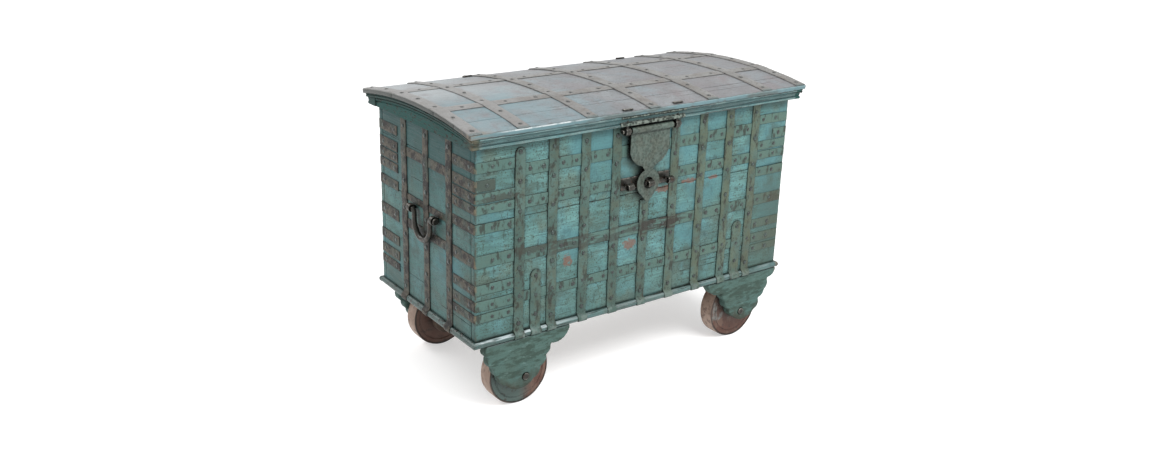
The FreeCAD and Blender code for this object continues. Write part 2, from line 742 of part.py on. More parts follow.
def clinch_on_lid(x, y):
    """The end of a shank, bent flat on top of the lid."""
    half_length, half_width, proud, deep = CLINCH_LENGTH / 2, 4, 5, 6
    height = f"({lid_height(y)})"
    low = (f"{x} - {half_length}", f"{y} - {half_width}", f"{height} - {deep}")
    high = (f"{x} + {half_length}", f"{y} + {half_width}", f"{height} + {proud}")
    return cut(box(low, high), dome(0))


def hasp_eyes():
    """Two eyes under the front of the lid, which hold the hasp pin."""
    eyes = []
    for x in HASP_EYE_PLACES:
        centre = (x, "-size.pin_out", "size.pin_height")
        clinch = clinch_on_lid(x, "-size.pin_out")
        reach = f"{lid_height('-size.pin_out')} - size.pin_height"
        sizes = ("size.pin_radius + 6", "size.pin_radius + size.slack", 16)
        eyes.append(eye("X", "Z", centre, reach, clinch, sizes))
    node(group(eyes), "hasp_eyes")


def link(axis, centre, radius_out, radius_in):
    """A flat ring, the eye of a hinge link."""
    shift = {"X": 0, "Y": 1}[axis]
    start = list(centre)
    start[shift] = f"{centre[shift]} - size.link_wire"
    outer = cylinder(axis, radius_out, "2 * size.link_wire", start)
    return cut(outer, cylinder(axis, radius_in, "2 * size.link_wire", start))


def lid_hinges():
    """Two pairs of interlinked eyes behind the chest.

    The lid's eye hangs in the carcass's eye and turns about its middle."""
    outer = "size.link_radius + size.link_wire"
    inner = "size.link_radius - size.link_wire"
    fixed, moving = [], []
    for x in HINGE_PLACES:
        centre = (x, "size.hinge_out", "size.hinge_height")
        ring = link("X", centre, outer, inner)
        length = f"size.hinge_out - ({inner}) - 1 - ({INNER_DEPTH} - 2)"
        shank = cylinder("Y", "size.shank", length, (x, f"{INNER_DEPTH} - 2", "size.hinge_height"))
        inside = f"{INNER_DEPTH} - {CLINCH_THICKNESS}"
        clinch = box((f"{x} - {CLINCH_LENGTH / 2}", inside, "size.hinge_height - size.shank"),
                     (f"{x} + {CLINCH_LENGTH / 2}", INNER_DEPTH, "size.hinge_height + size.shank"))
        opening = cylinder("X", inner, 2 * CLEAR, (x - CLEAR, centre[1], centre[2]))
        fixed.append(fuse([ring, cut(shank, opening), clinch]))
        upper = (x, "size.hinge_out", "size.hinge_height + size.link_radius")
        torus = doc.addObject("Part::Torus", "ring")
        torus.Placement.Rotation = TURN["Y"]
        bind(torus, {"Radius1": "size.link_radius", "Radius2": "size.link_wire"})
        place(torus, upper)
        foot = "size.hinge_height + 2 * size.link_radius + 1"
        top = lid_height("size.hinge_out")
        shank = cylinder("Z", "size.shank", f"{top} + 2 - ({foot})", (x, "size.hinge_out", foot))
        moving.append(fuse([torus, shank, clinch_on_lid(x, "size.hinge_out")]))
    node(group(fixed), "body_hinge_eyes")
    node(group(moving), "lid_hinge_eyes")


# ------------------------------------------------------------------------ lid

def lid_height(y, sink=0):
    """Height of the top of the lid boards at a distance y from the middle."""
    return f"({CROWN} - {DOME_RADIUS} + (({DOME_RADIUS} - {sink}) ^ 2 - ({y}) ^ 2) ^ 0.5)"


def dome(offset):
    """A solid bar along X whose surface is the top of the lid, raised by an offset."""
    start = ("-size.lid_half_length - 5", 0, f"{CROWN} - {DOME_RADIUS}")
    return cylinder("X", f"{DOME_RADIUS} + ({offset})", "2 * size.lid_half_length + 10", start, "dome")


def lid_slice(x_from, x_to, y_from, y_to):
    return box((x_from, y_from, 780), (x_to, y_to, ABOVE_ALL))


def shank_holes(places, y):
    """Holes down through the lid for the shanks of the eyes below it."""
    return group([cylinder("Z", "size.shank + size.slack", 120, (x, y, 780), "hole") for x in places])


def lid_boards():
    """Four boards that together make the low dome."""
    skin = cut(dome(0), dome("-size.lid_board"))
    reach = "size.lid_half_depth"
    edges = [f"-{reach}", -SEAM_ON_LID, "-size.long_strap", "size.long_strap", reach]
    names = ("front", "second", "middle", "back")
    for name, near, far in zip(names, edges, edges[1:]):
        board = common(skin, lid_slice("-size.lid_half_length", "size.lid_half_length", near, far))
        if name == "front":
            board = cut(board, shank_holes(HASP_EYE_PLACES, "-size.pin_out"))
        if name == "back":
            board = cut(board, shank_holes(HINGE_PLACES, "size.hinge_out"))
        node(board, f"lid_board_{name}")


def rail_profile(side, swell):
    """Section of a long lid rail: a bead at the foot, a hollow above it and a flare under the boards."""
    foot = f"(size.rail_foot + {swell})"
    steps = [
        (INNER_DEPTH, ABOVE_ALL),
        (INNER_DEPTH, "size.carcass_high"),
        (foot, "size.carcass_high"),
        (foot, "size.carcass_high + 10", "5.5"),
        (f"{foot} - 3", "size.carcass_high + 13"),
        (f"{foot} + 7", "size.carcass_high + 26", "-14"),
        (f"{foot} + 7", ABOVE_ALL),
    ]
    if side == BACK:
        return steps
    return [(f"-({step[0]})", step[1], *[f"-({radius})" for radius in step[2:]]) for step in steps]


def lid_rail(label, side):
    """A long rail under the lid boards, which rests on the carcass and overhangs it."""
    reach = "size.end_foot"
    blank = plate("YZ_Plane", rail_profile(side, 0), f"2 * {reach}", (f"-{reach}", 0, 0))
    rail = common(blank, dome("-size.lid_board"))
    places, y = (HASP_EYE_PLACES, "-size.pin_out") if side == FRONT else (HINGE_PLACES, "size.hinge_out")
    return node(cut(rail, shank_holes(places, y)), f"lid_rail_{label}")


def hasp_strip(rail):
    """A worked iron strip bent over the front rail above the hasp."""
    half, low, high, thickness = 118, 799, 826, 1.5
    blank = plate("YZ_Plane", rail_profile(FRONT, thickness), f"2 * {half}", (-half, 0, 0))
    band = box((-half, "-size.lid_half_depth - 10", low), (half, f"-{HALF_DEPTH} - 12", high))
    trimmed = cut(common(blank, band), rail)
    node(cut(trimmed, shank_holes(HASP_EYE_PLACES, "-size.pin_out")), "hasp_strip")


def lid_end(label, side):
    """An arched end of the lid, with a moulding that follows the arch."""
    set_back, proud, moulding = 4, 5, 13

    def slab(outer):
        low_x, high_x = sorted((f"{side} * {INNER_LENGTH}", f"{side} * ({outer})"), key=number)
        return box((low_x, f"-{INNER_DEPTH}", "size.carcass_high"), (high_x, INNER_DEPTH, ABOVE_ALL))

    strip = cut(slab(f"size.end_foot + {proud}"), dome(f"-size.lid_board - {moulding}"))
    board = fuse([slab(f"size.end_foot - {set_back}"), strip])
    node(common(board, dome("-size.lid_board")), f"lid_end_{label}")


def lid_straps():
    """Two long straps, and cross straps from front to back over them."""
    half = "size.lid_strap_width / 2"
    end = "size.lid_half_length"
    rows = []
    for side in (FRONT, BACK):
        middle = f"{side} * size.long_strap"
        rows.append(lid_slice(f"-{end}", end, f"{middle} - {half}", f"{middle} + {half}"))
    under = common(cut(dome("size.thin"), dome(0)), group(rows))
    node(under, "lid_long_straps")
    middles = [f"{step} * size.lid_strap_pitch" for step in (-2, -1, 0, 1, 2)]
    middles += [f"{side} * ({end} - {half})" for side in (LEFT, RIGHT)]
    stripes = []
    reach = "(size.lid_half_depth - 4)"
    for middle in middles:
        stripes.append(lid_slice(f"{middle} - {half}", f"{middle} + {half}", f"-{reach}", reach))
    node(cut(common(cut(dome("size.thick"), dome(0)), group(stripes)), under), "lid_cross_straps")


# ----------------------------------------------------------------------- nails

def nail(spot, direction):
    """The head of one nail: a low cone, flat on the strap it holds."""
    radius, height = number("size.nail_radius"), number("size.nail_height")
    top_share = 0.55
    return Part.makeCone(radius, radius * top_share, height, spot, direction)


def row_of(start, stop, count):
    """Evenly spaced places from start to stop."""
    return [start + (stop - start) * index / (count - 1) for index in range(count)]


# Nails of the short front straps: heights. Nails of a corner strap: from the corner along the front
# when it is full length, the same when it is half length, and from the corner along the end.
SHORT_NAILS = (285, 345, 402)
CORNER_NAILS = (53, 106)
HALF_CORNER_NAILS = (36,)
END_CORNER_NAILS = (28, 98)


def body_nails():
    """Nail heads on the straps of the four sides."""
    heads = []
    depth, length = number(HALF_DEPTH), number(HALF_LENGTH)
    thin, thick = number("size.thin"), number("size.thick")
    pitch = number("size.strap_pitch")
    end_pitch, end_shift = number("size.end_pitch"), number("size.end_shift")
    nail_rows = row_of(number("size.nail_low"), number("size.nail_high"), 7)
    pair = number("size.nail_pair")
    half_bay = pitch / 2

    def on_long(side, x, z, height):
        heads.append(nail(FreeCAD.Vector(x, side * (depth + height), z), FreeCAD.Vector(0, side, 0)))

    def on_end(side, y, z, height):
        heads.append(nail(FreeCAD.Vector(side * (length + height), y, z), FreeCAD.Vector(side, 0, 0)))

    for side, lanes in ((FRONT, FRONT_COLUMNS), (BACK, BACK_COLUMNS)):
        for column in lanes:
            for z in nail_rows:
                behind_hasp = side == FRONT and column == 0 and z > HASP_CLEAR
                if not behind_hasp:
                    on_long(side, column * pitch, z, thick)
    for middle, _ in SHORT_STRAPS:
        for z in SHORT_NAILS:
            on_long(FRONT, middle, z, thick)
    for low, high in FRONT_ROWS:
        for bay in row_of(-3.5, 3.5, 8):
            short = number("size.short_top") > low
            under_short = short and any(abs(bay * pitch - middle) < half_bay for middle, _ in SHORT_STRAPS)
            behind_hasp = abs(bay) < 1 and low > HASP_CLEAR
            if not under_short and not behind_hasp:
                for shift in (-pair, pair):
                    on_long(FRONT, bay * pitch + shift, (low + high) / 2, thin)
    for low, high in BACK_ROWS:
        for bay in (-3, -1, 1, 3):
            on_long(BACK, bay * pitch, (low + high) / 2, thin)
    for x_side in (LEFT, RIGHT):
        for low, high, share in CORNER_ROWS:
            height = (low + high) / 2
            for y_side in (FRONT, BACK):
                for inset in (CORNER_NAILS if share == 1.0 else HALF_CORNER_NAILS):
                    on_long(y_side, x_side * (length - inset), height, thin)
                for inset in END_CORNER_NAILS:
                    on_end(x_side, y_side * (depth - inset), height, thin)
        for lane in (-1, 0, 1):
            for z in nail_rows:
                on_end(x_side, lane * end_pitch - end_shift, z, thick)
    feature = doc.addObject("Part::Feature", "nails")
    feature.Shape = Part.makeCompound(heads)
    node(feature, "body_nails")


# Nails on the lid: the outermost ones from the lid's edge, and on the long straps a pair in each
# bay, or one in the short bays at the ends, whose middles are given in steps of the cross straps.
LID_NAIL_INSET = 26
LID_NAIL_PAIR = 50
LONG_STRAP_BAYS = (-2.35, -1.5, -0.5, 0.5, 1.5, 2.35)


def lid_nails():
    """Nail heads on the straps of the lid, square to the dome."""
    heads = []
    radius, crown = number(DOME_RADIUS), number(CROWN)
    thin, thick = number("size.thin"), number("size.thick")
    half, pitch = number("size.lid_half_length"), number("size.lid_strap_pitch")
    half_strap = number("size.lid_strap_width") / 2

    def on_dome(x, y, height):
        up = (radius ** 2 - y ** 2) ** 0.5
        direction = FreeCAD.Vector(0, y, up).normalize()
        heads.append(nail(FreeCAD.Vector(x, 0, crown - radius) + direction * (radius + height), direction))

    lanes = [step * pitch for step in (-2, -1, 0, 1, 2)]
    lanes += [side * (half - half_strap) for side in (LEFT, RIGHT)]
    outermost = number("size.lid_half_depth") - LID_NAIL_INSET
    for x in lanes:
        for y in row_of(-outermost, outermost, 7):
            on_dome(x, y, thick)
    for side in (FRONT, BACK):
        for bay in LONG_STRAP_BAYS:
            for shift in ((0,) if abs(bay) > 2 else (-LID_NAIL_PAIR, LID_NAIL_PAIR)):
                on_dome(bay * pitch + shift, side * number("size.long_strap"), thin)
    feature = doc.addObject("Part::Feature", "nails")
    feature.Shape = Part.makeCompound(heads)
    node(feature, "lid_nails")


# --------------------------------------------------------------------- assembly

def build():
    long_wall("front", FRONT)
    long_wall("back", BACK)
    end_wall("left", LEFT)
    end_wall("right", RIGHT)
    floor_boards()
    base_rail("front", "X", FRONT)
    base_rail("back", "X", BACK)
    base_rail("left", "Y", LEFT)
    base_rail("right", "Y", RIGHT)
    for y_name, y_side in (("front", FRONT), ("back", BACK)):
        for x_name, x_side in (("left", LEFT), ("right", RIGHT)):
            wheel_bracket(f"{y_name}_{x_name}", x_side, y_side)
            wheel(f"{y_name}_{x_name}", x_side, y_side)
    wheel_cheeks()
    wheel_axles()
    front_straps()
    back_straps()
    end_straps()
    corner_straps("front", FRONT)
    corner_straps("back", BACK)
    lock_eyes()
    handle_eyes()
    handle("left", LEFT)
    handle("right", RIGHT)
    lid_boards()
    front_rail = lid_rail("front", FRONT)
    lid_rail("back", BACK)
    lid_end("left", LEFT)
    lid_end("right", RIGHT)
    lid_straps()
    hasp_strip(front_rail)
    hasp_eyes()
    hasp()
    lid_hinges()
    body_nails()
    lid_nails()


def check():
    """Stops with a message if any object failed or any piece is empty or invalid."""
    for thing in doc.Objects:
        if {"Invalid", "Error"} & set(thing.State):
            raise SystemExit(f"{thing.Name} ({thing.Label}) failed: {thing.State}")
    for piece in nodes:
        if piece.Shape.isNull() or not piece.Shape.isValid() or not piece.Shape.Solids:
            raise SystemExit(f"{piece.Label} has no valid solid")
    labels = [piece.Label for piece in nodes]
    if len(set(labels)) != len(labels) or len(labels) > 60:
        raise SystemExit("every piece needs a label of its own, and at most 60 are allowed")


def write():
    os.makedirs("parts", exist_ok=True)
    for piece in nodes:
        piece.Shape.exportStep(os.path.join("parts", f"{piece.Label}.step"))


build()
doc.recompute()
check()
write()
for piece in nodes:
    limits = piece.Shape.BoundBox
    print(f"{piece.Label:28s} solids {len(piece.Shape.Solids):3d}  x {limits.XMin:8.1f} {limits.XMax:8.1f}"
          f"  y {limits.YMin:8.1f} {limits.YMax:8.1f}  z {limits.ZMin:7.1f} {limits.ZMax:7.1f}")
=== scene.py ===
"""Looks of a strapped and painted wooden chest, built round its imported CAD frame.

Metres, +Z up, floor at Z 0. +X runs along the front to the right, and the front faces -Y.
"""
import functools
import json
import math
import random

import bmesh
import bpy
from mathutils import Matrix, Vector, noise


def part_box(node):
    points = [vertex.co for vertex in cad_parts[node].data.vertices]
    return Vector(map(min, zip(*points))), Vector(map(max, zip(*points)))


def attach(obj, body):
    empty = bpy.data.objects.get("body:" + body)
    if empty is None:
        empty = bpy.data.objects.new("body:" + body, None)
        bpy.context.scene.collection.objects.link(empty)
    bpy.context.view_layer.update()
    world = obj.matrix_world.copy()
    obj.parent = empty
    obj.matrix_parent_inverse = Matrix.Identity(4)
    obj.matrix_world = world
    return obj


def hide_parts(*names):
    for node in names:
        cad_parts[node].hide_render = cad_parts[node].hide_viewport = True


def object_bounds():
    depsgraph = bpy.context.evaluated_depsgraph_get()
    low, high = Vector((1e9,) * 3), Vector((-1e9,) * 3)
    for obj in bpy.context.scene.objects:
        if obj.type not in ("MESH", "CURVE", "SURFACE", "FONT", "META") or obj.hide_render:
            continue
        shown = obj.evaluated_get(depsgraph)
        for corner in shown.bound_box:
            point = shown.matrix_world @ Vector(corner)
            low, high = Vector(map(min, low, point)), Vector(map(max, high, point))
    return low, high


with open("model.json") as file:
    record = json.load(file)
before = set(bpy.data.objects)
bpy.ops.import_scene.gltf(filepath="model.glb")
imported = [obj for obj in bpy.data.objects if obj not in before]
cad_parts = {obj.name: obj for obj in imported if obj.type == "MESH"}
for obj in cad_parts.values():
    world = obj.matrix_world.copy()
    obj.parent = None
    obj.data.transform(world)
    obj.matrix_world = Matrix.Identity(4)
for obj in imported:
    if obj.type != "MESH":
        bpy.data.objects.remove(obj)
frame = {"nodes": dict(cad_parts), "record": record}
CAD_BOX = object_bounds()
BODY_OF = {node: body for body, nodes in frame["record"]["behaviour"]["bodies"].items() for node in nodes}
SLOT_OF = {part["node"]: part["material_slot"] for part in frame["record"]["subparts"]}


# ------------------------------------------------------------------ reading the frame

@functools.cache
def boxes_of(node):
    """The lowest and highest corner of each separate solid of a CAD node."""
    shape = bmesh.new()
    shape.from_mesh(frame["nodes"][node].data)
    bmesh.ops.remove_doubles(shape, verts=shape.verts, dist=1e-6)
    found, seen = [], set()
    for first in shape.verts:
        if first in seen:
            continue
        seen.add(first)
        waiting, points = [first], []
        while waiting:
            vert = waiting.pop()
            points.append(vert.co.copy())
            for edge in vert.link_edges:
                other = edge.other_vert(vert)
                if other not in seen:
                    seen.add(other)
                    waiting.append(other)
        found.append((Vector(map(min, zip(*points))), Vector(map(max, zip(*points)))))
    shape.free()
    return found


FRONT_LOW, FRONT_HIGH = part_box("front_board_lower")
BOARD = FRONT_HIGH.y - FRONT_LOW.y
HALF_LENGTH, HALF_DEPTH = FRONT_HIGH.x, -FRONT_LOW.y
RAIL_LOW, RAIL_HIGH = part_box("base_rail_front")
LID_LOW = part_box("lid_board_front")[0]
LID_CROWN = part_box("lid_board_middle")[1].z
LID_EDGE = max(v.co.z for v in frame["nodes"]["lid_board_front"].data.vertices if v.co.y < LID_LOW.y + 1e-4)
LID_THICK = LID_EDGE - LID_LOW.z
LID_RISE = LID_CROWN - LID_EDGE
DOME_RADIUS = (LID_LOW.y ** 2 + LID_RISE ** 2) / (2 * LID_RISE)
LID_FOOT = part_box("lid_rail_front")[0].z
WHEEL_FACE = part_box("wheel_front_left")[0].y
PIN_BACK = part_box("hasp_pin")[1].y

# Each wall: the axis it runs along, the axis it faces, and the side it faces.
WALLS = {"front": (0, 1, -1), "back": (0, 1, 1), "left": (1, 0, -1), "right": (1, 0, 1)}
HALF_SIZE = (HALF_LENGTH, HALF_DEPTH)
ALONG_X, ALONG_Y, UPWARD = Vector((1, 0, 0)), Vector((0, 1, 0)), Vector((0, 0, 1))


def wall_point(wall, along, out, height):
    """A point at some distance out from the face of a wall."""
    run, face, side = WALLS[wall]
    point = Vector((0, 0, height))
    point[run] = along
    point[face] = side * (HALF_SIZE[face] + out)
    return point


def wall_direction(wall, out, up):
    """A direction that points out from a wall and up."""
    _, face, side = WALLS[wall]
    direction = Vector((0, 0, up))
    direction[face] = side * out
    return direction.normalized()


def boxes_on(node, wall):
    """The boxes of a CAD node's solids on one side of the chest."""
    _, face, side = WALLS[wall]
    return [(low, high) for low, high in boxes_of(node) if (low[face] + high[face]) * side > 0]


def dome_normal(y):
    return Vector((0, y / DOME_RADIUS, math.sqrt(1 - (y / DOME_RADIUS) ** 2)))


def dome_point(x, y, lift):
    """A point above or below the top face of the lid, square to it."""
    return Vector((x, 0, LID_CROWN - DOME_RADIUS)) + dome_normal(y) * (DOME_RADIUS + lift)


# ------------------------------------------------------------------ building meshes

def spaced(start, stop, step):
    """Evenly spaced values from start to stop, about a step apart."""
    count = max(1, round(abs(stop - start) / step))
    return [start + (stop - start) * index / count for index in range(count + 1)]


def smooth(value, low, high):
    """0 below low, 1 above high, and a soft rise between them."""
    share = min(1.0, max(0.0, (value - low) / (high - low)))
    return share * share * (3 - 2 * share)


def loft(shape, sections, closed=False):
    """Skins a row of closed loops of points. The two ends are capped, unless the row closes on itself."""
    rings = [[shape.verts.new(point) for point in section] for section in sections]
    following = rings[1:] + rings[:1] if closed else rings[1:]
    for ring, after in zip(rings, following):
        for index in range(len(ring)):
            shape.faces.new((ring[index - 1], ring[index], after[index], after[index - 1]))
    if not closed:
        shape.faces.new(rings[0])
        shape.faces.new(rings[-1])


def shrunk(section, amount):
    """A closed outline of (a, b) pairs moved inwards."""
    following = section[1:] + section[:1]
    before = section[-1:] + section[:-1]
    area = sum(one[0] * two[1] - two[0] * one[1] for one, two in zip(section, following))
    side = math.copysign(amount, area)
    result = []
    for last, point, after in zip(before, section, following):
        tangent = (Vector(after) - Vector(last)).normalized()
        result.append((point[0] - tangent.y * side, point[1] + tangent.x * side))
    return result


def bar(shape, section_at, start, stop, place, step=0.009, ease=0.002):
    """Lofts section_at(s), a list of (a, b) pairs, from start to stop, with its end edges eased."""
    shares = ((0, 1), (0.3, 0.3), (1, 0))
    stations = [(start + ease * far, ease * inset) for far, inset in shares]
    stations += [(s, 0) for s in spaced(start + ease, stop - ease, step)[1:-1]]
    stations += [(stop - ease * far, ease * inset) for far, inset in reversed(shares)]
    sections = []
    for s, inset in stations:
        section = section_at(s)
        if inset:
            section = shrunk(section, inset)
        sections.append([place(s, a, b) for a, b in section])
    loft(shape, sections)


def turned(shape, outline, centre, parts=96):
    """Turns a closed outline of (radius, y) pairs round an axis along Y."""
    sections = []
    for part in range(parts):
        angle = 2 * math.pi * part / parts
        spoke = Vector((math.cos(angle), 0, math.sin(angle)))
        sections.append([centre + spoke * radius + Vector((0, y, 0)) for radius, y in outline])
    loft(shape, sections, closed=True)


def roughen(shape, field):
    """Moves every point along its normal by field(point)."""
    bmesh.ops.recalc_face_normals(shape, faces=shape.faces)
    shape.normal_update()
    moves = [(vert, vert.normal * field(vert.co)) for vert in shape.verts]
    for vert, move in moves:
        vert.co += move


def seed_shift(name):
    """A steady random place in the noise for each piece."""
    chance = random.Random(name)
    return Vector([chance.uniform(-50, 50) for _ in range(3)])


def wooden(name, grain, ridge=0.0004, warp=0.0009, fine=240):
    """Ridges along the grain over a slow warp. The pattern is stretched along the axes in grain."""
    shift = seed_shift(name)
    stretch = Vector([0.05 if axis in grain else 1 for axis in "XYZ"])

    def field(point):
        along = point * stretch * fine
        ridges = noise.noise(along + shift) + 0.6 * noise.noise(along * 0.37 + shift)
        return ridge * ridges + warp * noise.noise(point * 4 + shift)
    return field


def hammered(name, depth=0.0004, blow=0.016):
    """Shallow dents all over, with finer pitting between them."""
    shift = seed_shift(name)

    def field(point):
        dents = noise.noise(point / blow + shift)
        pits = noise.noise(point / (blow * 0.3) + shift)
        return depth * (dents + 0.35 * pits)
    return field


def into_scene(name, data):
    thing = bpy.data.objects.new(name, data)
    bpy.context.scene.collection.objects.link(thing)
    return thing


def add_piece(node, shape, field=None, crease=38):
    """Roughens a bmesh and turns it into the piece that stands for a CAD node and rides on its body."""
    if field:
        roughen(shape, field)
    bmesh.ops.recalc_face_normals(shape, faces=shape.faces)
    mesh = bpy.data.meshes.new(f"worn_{node}")
    shape.to_mesh(mesh)
    shape.free()
    mesh.polygons.foreach_set("use_smooth", [True] * len(mesh.polygons))
    mesh.set_sharp_from_angle(angle=math.radians(crease))
    mesh.materials.append(MATERIALS[SLOT_OF[node]])
    piece = into_scene(mesh.name, mesh)
    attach(piece, BODY_OF[node])
    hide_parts(node)


# ------------------------------------------------------------------ materials

# How strongly the studio lights an open face. Colours are given as they look in that light.
STUDIO_LIGHT = 2.0


def tint(red, green, blue):
    """The colour of a paint that looks like these 0 to 255 screen values in the studio light."""
    return tuple((value / 255) ** 2.2 / STUDIO_LIGHT for value in (red, green, blue)) + (1,)


class Paint:
    """The node tree of one material. Its colour is built up coat by coat."""

    def __init__(self, name, colour=None):
        self.material = bpy.data.materials.new(name)
        self.material.use_nodes = True
        self.tree = self.material.node_tree
        self.tree.nodes.clear()
        self.place = self.add("TexCoord").outputs["Object"]
        self.x, self.y, self.z = self.add("SeparateXYZ", {0: self.place}).outputs
        self.colour = colour
        self.relief = None

    def add(self, kind, inputs=(), **settings):
        """Adds a node. An input is a number, a colour or the output of another node."""
        node = self.tree.nodes.new("ShaderNode" + kind)
        for key, value in settings.items():
            setattr(node, key, value)
        for key, value in dict(inputs).items():
            if isinstance(value, bpy.types.NodeSocket):
                self.tree.links.new(value, node.inputs[key])
            else:
                node.inputs[key].default_value = value
        return node

    def maths(self, operation, *values):
        return self.add("Math", enumerate(values), operation=operation).outputs[0]

    def all_of(self, first, *others):
        """Masks multiplied together."""
        for other in others:
            first = self.maths("MULTIPLY", first, other)
        return first

    def ramp(self, value, low, high, bottom=0.0, top=1.0):
        """Goes softly from bottom to top as value goes from low to high."""
        inputs = {"Value": value, "From Min": low, "From Max": high, "To Min": bottom, "To Max": top}
        return self.add("MapRange", inputs, interpolation_type="SMOOTHSTEP").outputs["Result"]

    def mix(self, factor, first, second, blend="MIX"):
        inputs = {0: factor, 6: first, 7: second}
        return self.add("Mix", inputs, data_type="RGBA", blend_type=blend).outputs[2]

    def coat(self, colour, *masks):
        """Lays a colour over what is there, as far as all the masks let it through."""
        self.colour = self.mix(self.all_of(*masks), self.colour, colour)

    def cloud(self, scale, stretch=(1, 1, 1), detail=3, rough=0.55, shift=0):
        """Soft random values about 0.5. scale is in waves per metre."""
        inputs = {"Vector": self.place, "Scale": [scale * one for one in stretch], "Location": (shift,) * 3}
        vector = self.add("Mapping", inputs).outputs[0]
        inputs = {"Vector": vector, "Scale": 1.0, "Detail": detail, "Roughness": rough}
        return self.add("TexNoise", inputs).outputs["Fac"]

    def patches(self, scale, low, high, share=1.0, **settings):
        """Ragged patches: share where a cloud is over high, 0 where it is under low."""
        return self.ramp(self.cloud(scale, **settings), low, high, 0, share)

    def beyond(self, value, place, width):
        """1 beyond a distance from the middle, with a soft start."""
        return self.ramp(self.maths("ABSOLUTE", value), place - width, place)

    def corners(self, width):
        """1 along the upright corners of the carcass."""
        ends = self.beyond(self.x, HALF_LENGTH, width)
        return self.all_of(ends, self.beyond(self.y, HALF_DEPTH, width))

    def shaded_crevices(self, reach=0.011, low=0.75, high=0.98):
        """Where ambient shade falls, for painting shade: 1 in corners and along the feet of raised pieces, 0
        on open faces.
        """
        open_share = self.add("AmbientOcclusion", {"Distance": reach}, samples=4).outputs["AO"]
        return self.ramp(open_share, high, low)

    def edges(self, low=0.52, high=0.60):
        """1 on sharp outer edges."""
        return self.ramp(self.add("NewGeometry").outputs["Pointiness"], low, high)

    def front_spot(self, middle, half_size, ragged):
        """1 inside a ragged patch of the front at (x, z), 0 outside."""
        (x, z), (half_x, half_z) = middle, half_size
        half_depth = 0.02
        inputs = {0: self.place, 1: (x, -HALF_DEPTH, z)}
        away = self.add("VectorMath", inputs, operation="SUBTRACT").outputs[0]
        inputs = {0: away, 1: (half_x, half_depth, half_z)}
        scaled = self.add("VectorMath", inputs, operation="DIVIDE").outputs[0]
        distance = self.add("VectorMath", {0: scaled}, operation="LENGTH").outputs["Value"]
        wobble = self.maths("SUBTRACT", self.cloud(90, detail=5), 0.5)
        return self.ramp(self.maths("ADD", distance, self.all_of(wobble, 4 * ragged)), 1.10, 0.70)

    def inside(self):
        """1 inside the chest, 0 on its outer faces."""
        half_board = BOARD / 2
        faces = ((self.x, HALF_LENGTH - half_board), (self.y, HALF_DEPTH - half_board))
        within = [self.ramp(self.maths("ABSOLUTE", value), place, place - 0.002) for value, place in faces]
        return self.all_of(*within)

    def low_right(self):
        """1 near the lower right of the chest, where years of dirt have gathered."""
        return self.all_of(self.ramp(self.x, 0.34, 0.56), self.ramp(self.z, 0.66, 0.45))

    def hasp_shadow(self):
        """1 in the painted shadow on the wall round and behind the hasp."""
        across = self.ramp(self.maths("ABSOLUTE", self.x), HASP_SPAN, HASP_SPAN - 0.02)
        upward = self.ramp(self.z, HASP_FOOT, HASP_FOOT + 0.02)
        in_front = self.ramp(self.y, -0.2, -0.25)
        return self.all_of(across, upward, in_front, self.shaded_crevices(0.032, 0.42, 0.86))

    def finish(self, roughness, relief, depth, metallic=0.0, gloss=0.5, glow=0.0):
        """Connects the surface: relief is a height pattern and depth its height in metres."""
        bump = self.add("Bump", {"Height": relief, "Distance": depth, "Strength": 0.8}).outputs[0]
        surface = self.add("BsdfPrincipled", {
            "Base Color": self.colour, "Roughness": roughness, "Metallic": metallic, "Normal": bump,
            "Specular IOR Level": gloss, "Emission Color": (1, 1, 1, 1), "Emission Strength": glow})
        self.add("OutputMaterial", {"Surface": surface.outputs[0]})
        return self.material


LEVEL_GRAIN = (0.05, 0.05, 1)
LONG_GRAIN = (0.05, 1, 1)
# Near black: painted shade in corners and behind the hasp, and dark dirt in smudges.
SHADE_AND_GRIME = tint(25, 27, 24)
BARE = tint(134, 104, 76)

# The part of the front that the hasp hangs over: half its length, and its lower edge.
HASP_SPAN, HASP_FOOT = 0.100, 0.550

# Rust and old red paint that shows on the front: middle (x, z) and half size, in metres.
RED_PATCHES = (
    ((-0.270, 0.425), (0.016, 0.019)),
    ((-0.045, 0.428), (0.026, 0.017)),
    ((0.070, 0.580), (0.034, 0.010)),
    ((0.175, 0.588), (0.032, 0.008)),
    ((0.270, 0.585), (0.021, 0.006)),
)

# Straps on the front that have lost their paint, given in the same way.
DARK_PATCHES = (
    ((-0.545, 0.690), (0.060, 0.022)),
    ((-0.500, 0.648), (0.070, 0.014)),
    ((-0.390, 0.489), (0.070, 0.020)),
    ((0.548, 0.468), (0.030, 0.028)),
)


